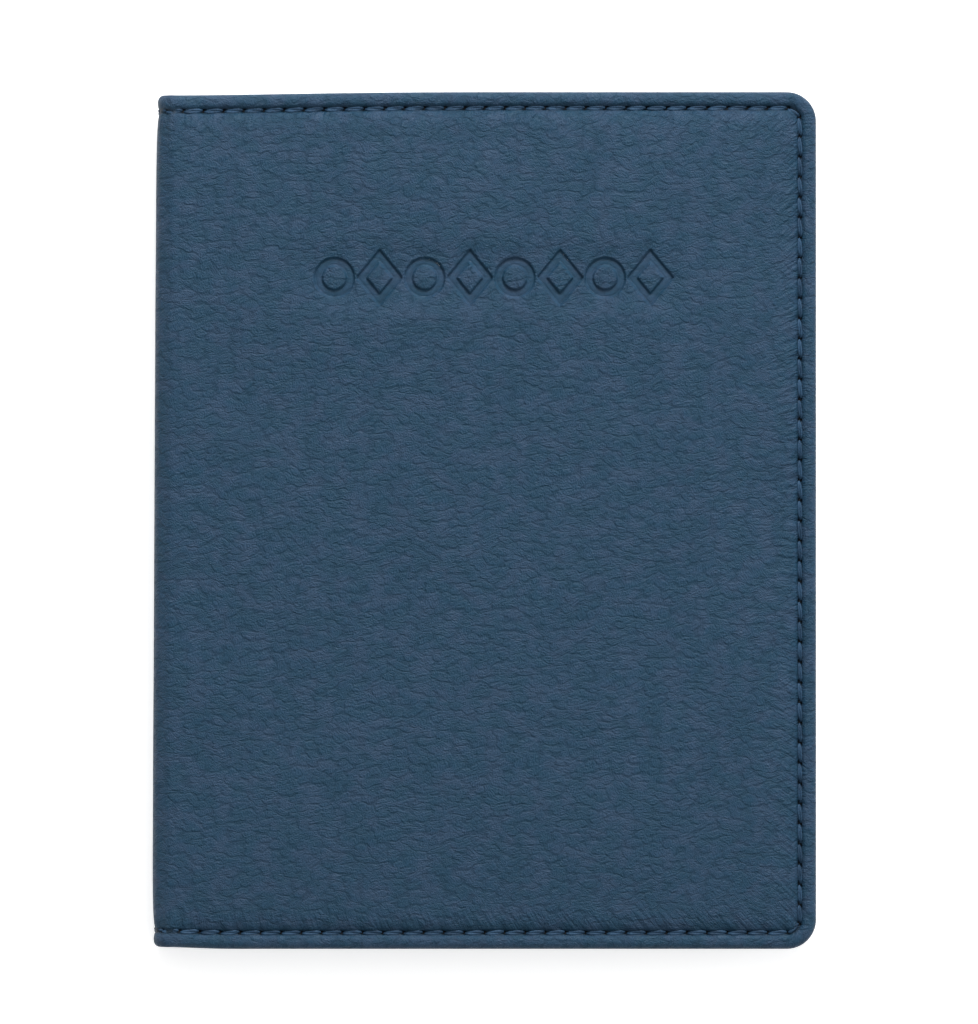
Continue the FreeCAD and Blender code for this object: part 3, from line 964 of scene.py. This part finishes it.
@dataclass
class FoamPad:
    """Thin foam behind the leather of one cover, thinned towards its edges."""

    side: Side
    node: str
    edge: float = 5.0
    edge_share: float = 0.35

    def build(self) -> Object:
        """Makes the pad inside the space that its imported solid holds.

        Returns:
            The piece.
        """
        low, high = (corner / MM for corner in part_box(self.node))
        size = high - low
        columns = [(self.edge, 0.8), (size.x - 2 * self.edge, 3.0), (self.edge, 0.8)]
        rows = [(self.edge, 0.8), (size.y - 2 * self.edge, 3.0), (self.edge, 0.8)]
        mesh = flat_grid(columns, rows, (low.x, low.y))
        outer_is_top = self.side is Side.FRONT
        tab = Tab(size.x, size.y / 2, 3.0)
        middle_y = (low.y + high.y) / 2
        for vert in mesh.verts:
            inset = min(vert.co.x - low.x, high.x - vert.co.x, vert.co.y - low.y, high.y - vert.co.y)
            along, across = tab.round_corner(vert.co.x - low.x, vert.co.y - middle_y,
                                             min(high.x - vert.co.x, high.y - vert.co.y, vert.co.y - low.y))
            fullness = mix(self.edge_share, 0.93, smooth(inset / self.edge))
            fullness += 0.03 * ripple(along, across, 9.0, 51.0)
            height = low.z + size.z * fullness if outer_is_top else high.z - size.z * fullness
            vert.co = Vector((low.x + along, middle_y + across, height))
        self.close(mesh, low.z if outer_is_top else high.z)
        return finish_mesh(mesh, f"{self.side.value}_foam_pad", flip=not outer_is_top)

    def close(self, mesh: BMesh, base: float) -> None:
        """Closes the pad with a wall round its edge and a flat base on the board."""
        rim = [edge for edge in mesh.edges if edge.is_boundary]
        made = bmesh.ops.extrude_edge_only(mesh, edges=rim)
        lowered = [item for item in made["geom"] if isinstance(item, BMVert)]
        for vert in lowered:
            vert.co.z = base
        bmesh.ops.contextual_create(mesh, geom=[edge for edge in mesh.edges if edge.is_boundary])
        bmesh.ops.recalc_face_normals(mesh, faces=mesh.faces[:])
        if base > lowered[0].link_edges[0].other_vert(lowered[0]).co.z:
            bmesh.ops.reverse_faces(mesh, faces=mesh.faces[:])


# ---- Finishes ----


def add_node(tree: NodeTree, kind: str, inputs: dict | None = None, **settings) -> Node:
    """Adds a shader node.

    Args:
        tree: the node tree.
        kind: the node's type name.
        inputs: values or sockets for the node's inputs, by name or number.
        **settings: the node's own properties.

    Returns:
        The node.
    """
    node = tree.nodes.new(kind)
    for name, value in settings.items():
        setattr(node, name, value)
    for key, value in (inputs or {}).items():
        socket = node.inputs[key]
        if isinstance(value, NodeSocket):
            tree.links.new(value, socket)
        else:
            socket.default_value = value
    return node


def maths(tree: NodeTree, operation: str, *values: Value) -> NodeSocket:
    """Adds a Math node and returns its result."""
    return add_node(tree, "ShaderNodeMath", dict(enumerate(values)), operation=operation).outputs[0]


def times(tree: NodeTree, first: Value, second: Value) -> NodeSocket:
    """Returns the product of two values."""
    return maths(tree, "MULTIPLY", first, second)


def vector_maths(tree: NodeTree, operation: str, inputs: dict) -> NodeSocket:
    """Adds a Vector Math node and returns its result."""
    return add_node(tree, "ShaderNodeVectorMath", inputs, operation=operation).outputs[0]


def turned(tree: NodeTree, place: NodeSocket, angle: Value) -> NodeSocket:
    """Returns a flat place turned about the origin."""
    inputs = {"Vector": place, "Angle": angle}
    return add_node(tree, "ShaderNodeVectorRotate", inputs, rotation_type="Z_AXIS").outputs[0]


def ramp(tree: NodeTree, value: NodeSocket, low: float, high: float, to_low: float = 0.0,
         to_high: float = 1.0) -> NodeSocket:
    """Adds a smooth Map Range node and returns its result."""
    inputs = {"Value": value, "From Min": low, "From Max": high, "To Min": to_low, "To Max": to_high}
    return add_node(tree, "ShaderNodeMapRange", inputs, interpolation_type="SMOOTHSTEP").outputs["Result"]


def blend_colours(tree: NodeTree, share: Value, first: NodeSocket | Colour, second: NodeSocket | Colour,
                  kind: str = "MIX") -> NodeSocket:
    """Adds a colour Mix node and returns its result."""
    node = add_node(tree, "ShaderNodeMix", data_type="RGBA", blend_type=kind)
    for index, value in ((0, share), (6, first), (7, second)):
        if isinstance(value, NodeSocket):
            tree.links.new(value, node.inputs[index])
        else:
            node.inputs[index].default_value = value
    return node.outputs[2]


def new_group(name: str, inputs: dict[str, tuple[str, object]], outputs: dict[str, str]
              ) -> tuple[NodeTree, Node, Node]:
    """Makes an empty shader group with named sockets.

    Args:
        name: the group's name.
        inputs: socket kind and default value by input name.
        outputs: socket kind by output name.

    Returns:
        The group's tree, its input node and its output node.
    """
    tree = bpy.data.node_groups.new(name, "ShaderNodeTree")
    for title, (kind, value) in inputs.items():
        socket = tree.interface.new_socket(name=title, in_out="INPUT", socket_type=f"NodeSocket{kind}")
        if value is not None:
            socket.default_value = value
    for title, kind in outputs.items():
        tree.interface.new_socket(name=title, in_out="OUTPUT", socket_type=f"NodeSocket{kind}")
    return tree, tree.nodes.new("NodeGroupInput"), tree.nodes.new("NodeGroupOutput")


def use_group(tree: NodeTree, group: NodeTree, inputs: dict) -> Node:
    """Places a group in a material with its own values."""
    return add_node(tree, "ShaderNodeGroup", inputs, node_tree=group)


def flat_place(tree: NodeTree, x: Value, y: Value) -> NodeSocket:
    """Joins two values into a flat place."""
    return add_node(tree, "ShaderNodeCombineXYZ", {"X": x, "Y": y}).outputs[0]


def scaled(tree: NodeTree, place: NodeSocket, x: Value, y: Value) -> NodeSocket:
    """Returns a flat place with its X and Y multiplied by their own numbers."""
    return vector_maths(tree, "MULTIPLY", {0: place, 1: flat_place(tree, x, y)})


def flat_noise(tree: NodeTree, place: NodeSocket, scale: float, detail: float,
               roughness: float = 0.5) -> Node:
    """Adds a flat Noise node."""
    inputs = {"Vector": place, "Scale": scale, "Detail": detail, "Roughness": roughness}
    return add_node(tree, "ShaderNodeTexNoise", inputs, noise_dimensions="2D")


def solid_noise(tree: NodeTree, scale: float, **inputs: float) -> NodeSocket:
    """Returns noise that runs through the whole piece, from its own coordinates."""
    place = add_node(tree, "ShaderNodeTexCoord").outputs["Object"]
    return add_node(tree, "ShaderNodeTexNoise", {"Vector": place, "Scale": scale, **inputs}).outputs[0]


def wire(tree: NodeTree, shader: Node, colour: NodeSocket, height: NodeSocket, strength: float,
         distance: float) -> None:
    """Connects a colour and a raised surface to a shader."""
    bump = add_node(tree, "ShaderNodeBump", {"Strength": strength, "Distance": distance, "Height": height})
    tree.links.new(colour, shader.inputs["Base Color"])
    tree.links.new(bump.outputs[0], shader.inputs["Normal"])


def leather_grain_group() -> NodeTree:
    """Builds the grain of soft, drum-dyed leather.

    Returns:
        A group from a flat place in metres to a height and a tone.
    """
    tree, given, result = new_group(
        "leather_grain",
        {"Place": ("Vector", None), "Grain size": ("Float", 0.4), "Crease size": ("Float", 5.0),
         "Crease depth": ("Float", 0.2), "Pebble depth": ("Float", 0.2), "Angle": ("Float", 0.9)},
        {"Height": "Float", "Tone": "Float"})
    place = vector_maths(tree, "SCALE", {0: given.outputs["Place"], "Scale": 1000.0})
    drift = flat_noise(tree, place, 0.11, 3.0, 0.55).outputs["Color"]
    centred = vector_maths(tree, "SUBTRACT", {0: drift, 1: (0.5, 0.5, 0.5)})
    offset = vector_maths(tree, "SCALE", {0: centred, "Scale": 3.0})
    warped = vector_maths(tree, "ADD", {0: place, 1: offset})
    fine = maths(tree, "DIVIDE", 1.0, given.outputs["Grain size"])
    slanted = turned(tree, warped, given.outputs["Angle"])
    streaks = flat_noise(tree, scaled(tree, slanted, times(tree, fine, 0.70), fine), 1.0, 2.0, 0.6)
    counter = scaled(tree, turned(tree, warped, -0.35), times(tree, fine, 0.22), times(tree, fine, 0.62))
    crossing = flat_noise(tree, counter, 1.0, 1.0)
    cells = add_node(tree, "ShaderNodeTexVoronoi", {"Vector": scaled(tree, warped, 0.66, 1.10), "Scale": 1.0},
                     voronoi_dimensions="2D").outputs["Distance"]
    pebbles = times(tree, ramp(tree, cells, 0.40, 0.74), given.outputs["Pebble depth"])
    wide = maths(tree, "DIVIDE", 1.0, given.outputs["Crease size"])
    slack = flat_noise(tree, scaled(tree, warped, wide, times(tree, wide, 2.6)), 1.0, 2.0).outputs[0]
    from_line = maths(tree, "ABSOLUTE", maths(tree, "SUBTRACT", slack, 0.5))
    patches = ramp(tree, flat_noise(tree, place, 0.07, 2.0).outputs[0], 0.38, 0.62, 0.2, 1.0)
    creases = times(tree, ramp(tree, from_line, 0.0, 0.035, 1.0, 0.0), patches)
    base = maths(tree, "ADD", times(tree, streaks.outputs[0], 0.55), times(tree, crossing.outputs[0], 0.36))
    height = maths(tree, "SUBTRACT", maths(tree, "SUBTRACT", base, pebbles),
                   times(tree, creases, given.outputs["Crease depth"]))
    tone = flat_noise(tree, scaled(tree, place, 0.8, 1.0), 0.34, 3.0).outputs[0]
    tree.links.new(height, result.inputs["Height"])
    tree.links.new(tone, result.inputs["Tone"])
    return tree


def seam_marks_group() -> NodeTree:
    """Builds what sewing does to leather: needle holes, a pressed line and fine puckers.

    Returns:
        A group from a place beside the seam, in metres, to masks and a height.
    """
    tree, given, result = new_group(
        "seam_marks",
        {"Seam place": ("Vector", None), "Pitch": ("Float", 0.0033), "Inset": ("Float", 0.0026)},
        {"Hole": "Float", "Line": "Float", "Pucker": "Float"})
    parts = add_node(tree, "ShaderNodeSeparateXYZ", {0: given.outputs["Seam place"]})
    along, inset = parts.outputs["X"], parts.outputs["Y"]
    from_line = maths(tree, "SUBTRACT", inset, given.outputs["Inset"])
    step = maths(tree, "FRACT", maths(tree, "DIVIDE", along, given.outputs["Pitch"]))
    nearest = times(tree, maths(tree, "MINIMUM", step, maths(tree, "SUBTRACT", 1.0, step)),
                    given.outputs["Pitch"])
    across = maths(tree, "DIVIDE", from_line, 0.00036)
    beside = maths(tree, "DIVIDE", nearest, 0.00050)
    reach = maths(tree, "SQRT", maths(tree, "ADD", times(tree, across, across), times(tree, beside, beside)))
    hole = ramp(tree, reach, 0.45, 1.15, 1.0, 0.0)
    line = ramp(tree, maths(tree, "ABSOLUTE", from_line), 0.0, 0.0008, 1.0, 0.0)
    stretched = flat_place(tree, times(tree, along, 1150.0), times(tree, inset, 210.0))
    folds = flat_noise(tree, stretched, 1.0, 2.0).outputs[0]
    fade_in = ramp(tree, from_line, 0.0, 0.0007)
    fade_out = ramp(tree, from_line, 0.0012, 0.0062, 1.0, 0.0)
    pucker = times(tree, folds, times(tree, fade_in, fade_out))
    tree.links.new(hole, result.inputs["Hole"])
    tree.links.new(line, result.inputs["Line"])
    tree.links.new(pucker, result.inputs["Pucker"])
    return tree


def weave_group() -> NodeTree:
    """Builds a fine twill weave.

    Returns:
        A group from a flat place in metres to a height and a shade: painted shade from the weave's height,
        darker in its grooves and lighter on its ribs, plus the slub's tone.
    """
    tree, given, result = new_group("twill_weave", {"Place": ("Vector", None), "Thread": ("Float", 0.35)},
                                    {"Height": "Float", "Shade": "Float"})
    parts = add_node(tree, "ShaderNodeSeparateXYZ", {0: given.outputs["Place"]})
    scale = maths(tree, "DIVIDE", 1000.0, given.outputs["Thread"])
    warp = times(tree, parts.outputs["X"], scale)
    weft = times(tree, parts.outputs["Y"], scale)
    rib = maths(tree, "SINE", times(tree, maths(tree, "ADD", warp, weft), math.pi / 1.5))
    yarn = maths(tree, "SINE", times(tree, weft, math.pi * 2))
    height = maths(tree, "ADD", times(tree, rib, 0.35), times(tree, yarn, 0.15))
    slub = flat_noise(tree, flat_place(tree, times(tree, warp, 0.08), weft), 0.5, 2.0).outputs[0]
    tree.links.new(maths(tree, "ADD", height, slub), result.inputs["Height"])
    # Shade is painted shade of the weave, darker in its grooves and lighter on its ribs, plus the yarn's slub
    # tone.
    tree.links.new(maths(tree, "ADD", times(tree, height, 0.5), slub), result.inputs["Shade"])
    return tree


def blank_material(name: str, roughness: float, **sockets) -> tuple[Material, Node]:
    """Makes a material with a Principled shader.

    Args:
        name: the material's name.
        roughness: the shader's roughness.
        **sockets: other uniform values, by socket name with underscores for spaces.

    Returns:
        The material and its shader node.
    """
    material = bpy.data.materials.new(name)
    material.use_nodes = True
    shader = material.node_tree.nodes["Principled BSDF"]
    shader.inputs["Roughness"].default_value = roughness
    for key, value in sockets.items():
        shader.inputs[key.replace("_", " ")].default_value = value
    return material, shader


@dataclass(frozen=True)
class NavyHide:
    """Soft navy leather with a fine diagonal grain, slack creases and two shades of dye, with painted shade
    in the grain's hollows, along the seam line and in the needle holes, and a painted highlight on the
    grain's tops.
    """

    name: str = "navy_cover_leather"
    deep: Colour = (0.0105, 0.0415, 0.0770, 1.0)
    middle: Colour = (0.0130, 0.0430, 0.0820, 1.0)
    greyed: Colour = (0.0185, 0.0465, 0.0880, 1.0)
    grain_size: float = 0.21
    crease_size: float = 5.0
    crease_depth: float = 0.16
    pebble_depth: float = 0.28
    relief: float = 0.00030
    roughness: float = 0.50
    pitch: float = STITCH_PITCH
    seam_inset: float = COVER_SEAM_INSET

    def make(self, grain: NodeTree, seam: NodeTree) -> Material:
        """Builds the material.

        Args:
            grain: the leather grain group.
            seam: the seam marks group.

        Returns:
            The material.
        """
        material, shader = blank_material(self.name, self.roughness, IOR=1.45, Specular_IOR_Level=0.24)
        tree = material.node_tree
        hide = add_node(tree, "ShaderNodeUVMap", uv_map="hide").outputs[0]
        beside = add_node(tree, "ShaderNodeUVMap", uv_map="seam").outputs[0]
        pressed = add_node(tree, "ShaderNodeAttribute", attribute_name="pressed").outputs["Fac"]
        texture = use_group(tree, grain, {"Place": hide, "Grain size": self.grain_size,
                                          "Crease size": self.crease_size, "Crease depth": self.crease_depth,
                                          "Pebble depth": self.pebble_depth})
        marks = use_group(tree, seam, {"Seam place": beside, "Pitch": self.pitch * MM,
                                       "Inset": self.seam_inset * MM})
        tone, height = texture.outputs["Tone"], texture.outputs["Height"]
        shade = blend_colours(tree, ramp(tree, tone, 0.36, 0.52), self.deep, self.middle)
        shade = blend_colours(tree, ramp(tree, tone, 0.50, 0.66), shade, self.greyed)
        # Painted shade in the grain's hollows and painted highlight on its tops: the colour is multiplied by
        # 0.88 in the low parts, rising to 1.10 on the high parts.
        shade = blend_colours(tree, 1.0, shade, ramp(tree, height, 0.15, 0.65, 0.88, 1.10), "MULTIPLY")
        # Painted shade along the seam line, where the stitches pull the leather into a valley: the colour is
        # darkened there to 0.45.
        seam_line_painted_shade = ramp(tree, marks.outputs["Line"], 0.0, 1.0, 1.0, 0.45)
        shade = blend_colours(tree, 1.0, shade, seam_line_painted_shade, "MULTIPLY")
        # Painted shade in the needle holes: a near-black colour where the holes sink into the leather.
        shade = blend_colours(tree, marks.outputs["Hole"], shade, (0.0012, 0.0024, 0.0045, 1.0))
        gloss = ramp(tree, height, 0.15, 0.65, self.roughness + 0.10, self.roughness - 0.06)
        tree.links.new(gloss, shader.inputs["Roughness"])
        flattened = times(tree, height, maths(tree, "SUBTRACT", 1.0, times(tree, pressed, 0.7)))
        puckered = maths(tree, "ADD", flattened, times(tree, marks.outputs["Pucker"], 1.2))
        pierced = maths(tree, "SUBTRACT", puckered, times(tree, marks.outputs["Hole"], 2.0))
        wire(tree, shader, shade, pierced, 1.0, self.relief)
        return material


@dataclass(frozen=True)
class LiningTwill:
    """Dark navy lining fabric, with painted shade in its weave."""

    name: str = "navy_lining_twill"
    dark: Colour = (0.004, 0.009, 0.019, 1.0)
    light: Colour = (0.016, 0.027, 0.048, 1.0)

    def make(self, weave: NodeTree) -> Material:
        """Returns the material, built on the weave group."""
        material, shader = blank_material(self.name, 0.8, Specular_IOR_Level=0.25, Sheen_Weight=0.05)
        tree = material.node_tree
        place = add_node(tree, "ShaderNodeUVMap", uv_map="hide").outputs[0]
        cloth = use_group(tree, weave, {"Place": place, "Thread": 0.42})
        # The cloth's colour runs from dark to light with the weave's painted shade and its slub.
        shade = blend_colours(tree, ramp(tree, cloth.outputs["Shade"], 0.2, 0.8), self.dark, self.light)
        wire(tree, shader, shade, cloth.outputs["Height"], 0.8, 0.00009)
        return material


@dataclass(frozen=True)
class SeamThread:
    """Bonded navy thread, a little greener than the leather."""

    name: str = "navy_seam_thread"
    dark: Colour = (0.0075, 0.0260, 0.0540, 1.0)
    light: Colour = (0.0200, 0.0560, 0.1080, 1.0)

    def make(self) -> Material:
        """Returns the material: fine fibres across the thread and uneven dye."""
        material, shader = blank_material(self.name, 0.62, Specular_IOR_Level=0.22)
        tree = material.node_tree
        fibres = solid_noise(tree, 5200.0, Detail=1.0)
        dye = solid_noise(tree, 420.0, Detail=1.0)
        share = times(tree, maths(tree, "ADD", fibres, dye), 0.5)
        shade = blend_colours(tree, ramp(tree, share, 0.36, 0.62), self.dark, self.light)
        wire(tree, shader, shade, fibres, 0.7, 0.00005)
        return material


@dataclass(frozen=True)
class FibreStock:
    """Card or foam: a plain stock with short fibres or cells."""

    name: str
    dark: Colour
    light: Colour
    scale: float
    roughness: float = 0.85

    def make(self) -> Material:
        """Returns the material, mottled over the whole piece."""
        material, shader = blank_material(self.name, self.roughness)
        tree = material.node_tree
        grit = solid_noise(tree, self.scale, Detail=3.0, Roughness=0.7)
        shade = blend_colours(tree, ramp(tree, grit, 0.35, 0.65), self.dark, self.light)
        wire(tree, shader, shade, grit, 0.5, 0.0001)
        return material


# ---- The holder ----


@dataclass
class Finishes:
    """Every finish of the holder, made once."""

    cover: Material
    inner: Material
    slots: Material
    lining: Material
    thread: Material
    card: Material
    foam: Material

    @classmethod
    def make(cls, cover_seam: Seam) -> "Finishes":
        """Makes the finishes, with the cover's needle holes where its stitches end."""
        grain, seam, weave = leather_grain_group(), seam_marks_group(), weave_group()
        cover = NavyHide(pitch=cover_seam.pitch, seam_inset=cover_seam.inset)
        inner = NavyHide("navy_sleeve_leather", deep=(0.009, 0.033, 0.062, 1.0),
                         middle=(0.011, 0.035, 0.066, 1.0), greyed=(0.015, 0.038, 0.071, 1.0),
                         grain_size=0.32, crease_depth=0.06, pebble_depth=0.12, relief=0.00008,
                         roughness=0.46, seam_inset=SLEEVE_SEAM_INSET)
        slots = replace(inner, name="navy_card_slot_leather", seam_inset=SLOT_SEAM_INSET)
        card = FibreStock("grey_card", (0.20, 0.17, 0.13, 1.0), (0.34, 0.30, 0.24, 1.0), 900.0)
        foam = FibreStock("pale_foam", (0.55, 0.54, 0.50, 1.0), (0.72, 0.71, 0.67, 1.0), 2600.0, 0.9)
        return cls(cover.make(grain, seam), inner.make(grain, seam), slots.make(grain, seam),
                   LiningTwill().make(weave), SeamThread().make(), card.make(), foam.make())


@dataclass
class Cover:
    """One cover with everything that is sewn or glued to it."""

    layout: Layout
    side: Side
    finishes: Finishes
    seam_sink: float = 0.10
    sleeve_inset: float = 1.0
    sleeve_wall: float = 0.62

    def attach(self, piece: Object, *levels: float) -> None:
        """Bakes a soft piece's placement into its mesh; the fold line at the given levels is worked out but
        not used.
        """
        spine_end, cover_end = self.layout.fold_line(self.side, *levels)
        if self.side is Side.FRONT:
            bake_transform(piece)
            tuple(spine_end)
            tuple(cover_end)
        else:
            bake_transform(piece)
            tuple(cover_end)
            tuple(spine_end)

    def build_hide(self) -> CoverHide:
        """Builds the cover leather and returns its plan."""
        hide = CoverHide(self.layout, self.side)
        piece = hide.build()
        dress(piece, self.finishes.cover)
        name = self.side.value
        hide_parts(f"{name}_cover_leather", f"{name}_crease_leather", f"{name}_hem_flaps")
        if self.side is Side.FRONT:
            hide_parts("spine_leather", "spine_hem_flaps")
        self.attach(piece)
        LOG.info("%s: %d faces", piece.name, len(piece.data.polygons))
        return hide

    def build_lining(self) -> None:
        """Builds the lining and logs its flat size."""
        cloth = LiningCloth(self.layout, self.side)
        piece = cloth.build()
        dress(piece, self.finishes.lining)
        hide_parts(f"{self.side.value}_lining")
        if self.side is Side.FRONT:
            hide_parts("spine_lining")
        self.attach(piece, cloth.spine_level, cloth.cover_level, 0.9)
        LOG.info("%s: %.1f x %.1f mm flat", piece.name, cloth.length, 2 * cloth.half_width)

    def build_sleeve(self) -> LeatherPanel:
        """Builds the sleeve that takes the passport's own cover, and returns its plan."""
        low, high = (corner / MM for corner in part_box(f"{self.side.value}_sleeve"))
        tab = Tab(high.x - low.x, high.y, COVER_CORNER - self.sleeve_inset)
        level = high.z if self.side is Side.BACK else self.layout.top - low.z
        panel = LeatherPanel(f"{self.side.value}_sleeve_panel", self.side, tab, Vector((low.x, 0.0, 0.0)),
                             Vector((1.0, 0.0, 0.0)), level, self.sleeve_wall, SLEEVE_SEAM_INSET,
                             self.layout.top, lift=0.10)
        piece = panel.build()
        dress(piece, self.finishes.inner)
        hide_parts(f"{self.side.value}_sleeve")
        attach(piece, self.side.value)
        LOG.info("%s: %d faces", piece.name, len(piece.data.polygons))
        return panel

    def build_thread(self, hide: CoverHide, sleeve: LeatherPanel) -> None:
        """Lays the cover's seam, outside and inside.

        Args:
            hide: the plan of the cover leather.
            sleeve: the plan of the sleeve that the seam holds.
        """
        run = ThreadRun(f"{self.side.value}_seam_thread", seed=11 if self.side is Side.FRONT else 12)
        run.lay_all(hide.seam_points(lambda along: hide.valley_level(along) - self.seam_sink))
        mouth = sleeve.mouth.x - self.layout.cover_start + self.layout.fold_end

        def inside(along: float) -> float:
            surface = sleeve.level if along > mouth else hide.hem_level(along)
            return surface - (self.seam_sink if along > mouth else 0.0)

        inner = [(point, -outward) for point, outward in hide.seam_points(inside)]
        run.lay_all(inner)
        piece = run.build()
        dress(piece, self.finishes.thread)
        name = self.side.value
        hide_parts(f"{name}_outer_stitches", f"{name}_inner_stitches")
        if self.side is Side.FRONT:
            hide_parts("spine_stitches")
        self.attach(piece)
        LOG.info("%s: %d stitches", piece.name, run.laid)

    def build_foam(self) -> None:
        """Builds the padding under the cover leather."""
        node = f"{self.side.value}_padding"
        piece = FoamPad(self.side, node).build()
        dress(piece, self.finishes.foam)
        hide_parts(node)
        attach(piece, self.side.value)

    def build(self) -> None:
        """Builds the whole cover."""
        hide = self.build_hide()
        self.build_lining()
        sleeve = self.build_sleeve()
        self.build_thread(hide, sleeve)
        self.build_foam()


@dataclass
class CardSlots:
    """The stack of card slots on the front cover's sleeve."""

    layout: Layout
    finishes: Finishes
    count: int = 3
    thickness: float = 0.52
    corner_radius: float = 2.0

    def panel(self, number: int) -> LeatherPanel:
        """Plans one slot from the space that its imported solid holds.

        Args:
            number: the slot's number; slot 1 lies against the sleeve.

        Returns:
            The plan of the slot.
        """
        low, high = (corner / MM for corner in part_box(f"card_slot_{number}"))
        tab = Tab(high.y - low.y, (high.x - low.x) / 2, self.corner_radius)
        mouth = Vector(((low.x + high.x) / 2, high.y, 0.0))
        return LeatherPanel(f"card_slot_{number}_panel", Side.FRONT, tab, mouth, Vector((0.0, -1.0, 0.0)),
                            self.layout.top - low.z, self.thickness, SLOT_SEAM_INSET, self.layout.top,
                            lift=0.30, turned_edge=0.20, layer=60.0 + number)

    def build(self) -> None:
        """Builds the slots and their stitches."""
        panels = [self.panel(number) for number in range(1, self.count + 1)]
        run = ThreadRun("card_slot_thread", Stitch(ply_radius=0.16, ply_offset=0.12, dive=0.3), seed=13)
        for number, panel in enumerate(panels, start=1):
            piece = panel.build()
            dress(piece, self.finishes.slots)
            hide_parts(f"card_slot_{number}")
            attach(piece, "front")
            if number == self.count:
                run.lay_all(panel.seam_points())
                continue
            shown = panel.mouth.y - panels[number].mouth.y
            run.lay_all(panel.seam_points(0.0, shown))
            run.lay_all(panel.seam_points(panel.seam.length - shown))
        piece = run.build()
        dress(piece, self.finishes.thread)
        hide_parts("card_slot_stitches")
        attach(piece, "front")
        LOG.info("card slots: %d panels, %d stitches", len(panels), run.laid)


# ---- The studio ----


@dataclass(frozen=True)
class Softbox:
    """A large, even light."""

    name: str
    place: tuple[float, float, float]
    size: tuple[float, float]
    power: float
    tint: tuple[float, float, float] = (1.0, 1.0, 1.0)

    def hang(self) -> None:
        """Adds the light, turned towards the holder."""
        data = bpy.data.lights.new(self.name, "AREA")
        data.shape = "RECTANGLE"
        data.size, data.size_y = self.size
        data.energy = self.power
        data.color = self.tint
        lamp = bpy.data.objects.new(self.name, data)
        lamp.location = self.place
        lamp.rotation_euler = (-Vector(self.place)).to_track_quat("-Z", "Y").to_euler()
        bpy.context.scene.collection.objects.link(lamp)


@dataclass(frozen=True)
class Studio:
    """Pale floor, soft light and a camera straight above the holder."""

    view_height: float = 0.1667
    camera_height: float = 1.4
    aim: tuple[float, float] = (0.00065, 0.00138)
    sensor: float = 36.0
    air: float = 0.42
    floor_glow: float = 0.5
    lights: tuple[Softbox, ...] = (
        Softbox("head_softbox", (0.15, 0.80, 0.50), (0.6, 0.35), 14.0),
        Softbox("overhead_softbox", (0.0, 0.1, 1.9), (1.4, 1.4), 6.0),
        Softbox("side_softbox", (0.9, -0.1, 0.6), (0.7, 0.9), 3.0),
    )

    def build_floor(self) -> None:
        """Lays a pale floor with a faint unevenness."""
        mesh = bmesh.new()
        bmesh.ops.create_grid(mesh, x_segments=4, y_segments=4, size=3000.0)
        floor = finish_mesh(mesh, "studio_floor")
        material, shader = blank_material("pale_floor", 0.7, Emission_Color=WHITE,
                                          Emission_Strength=self.floor_glow)
        tree = material.node_tree
        patch = solid_noise(tree, 6.0)
        shade = blend_colours(tree, patch, (0.90, 0.90, 0.90, 1.0), (0.93, 0.93, 0.93, 1.0))
        tree.links.new(shade, shader.inputs["Base Color"])
        floor.data.materials.append(material)
        floor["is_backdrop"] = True

    def build_camera(self, top: float) -> None:
        """Hangs the camera over the holder, level with its edges.

        Args:
            top: height of the holder's upper face, in metres.
        """
        data = bpy.data.cameras.new("camera")
        data.sensor_fit = "VERTICAL"
        data.sensor_height = self.sensor
        reach = self.camera_height - top
        data.lens = self.sensor * reach / self.view_height
        camera = bpy.data.objects.new("camera", data)
        camera.location = (self.aim[0], self.aim[1], self.camera_height)
        bpy.context.scene.collection.objects.link(camera)
        bpy.context.scene.camera = camera

    def build(self, top: float) -> None:
        """Builds the studio round the holder."""
        self.build_floor()
        for light in self.lights:
            light.hang()
        world = bpy.data.worlds.new("studio_air")
        world.use_nodes = True
        background = world.node_tree.nodes["Background"]
        background.inputs["Color"].default_value = WHITE
        background.inputs["Strength"].default_value = self.air
        bpy.context.scene.world = world
        bpy.context.scene.view_settings.view_transform = "Standard"
        self.build_camera(top)


def main() -> None:
    """Builds the holder and its studio."""
    logging.basicConfig(level=logging.INFO, format="%(name)s: %(message)s")
    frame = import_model()
    packed_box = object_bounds()
    layout = Layout.from_frame()
    finishes = Finishes.make(CoverHide(layout, Side.FRONT).seam)
    for side in Side:
        Cover(layout, side, finishes).build()
    CardSlots(layout, finishes).build()
    for name in ("back_board", "front_board", "spine_stiffener"):
        board = frame["nodes"][name]
        board.data.materials.clear()
        board.data.materials.append(finishes.card)
    Studio().build(layout.top * MM)
    boxes = [[list(corner) for corner in box] for box in (packed_box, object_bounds())]
    LOG.info("packed box %s, visual box %s", *boxes)


if __name__ == "__main__":
    main()
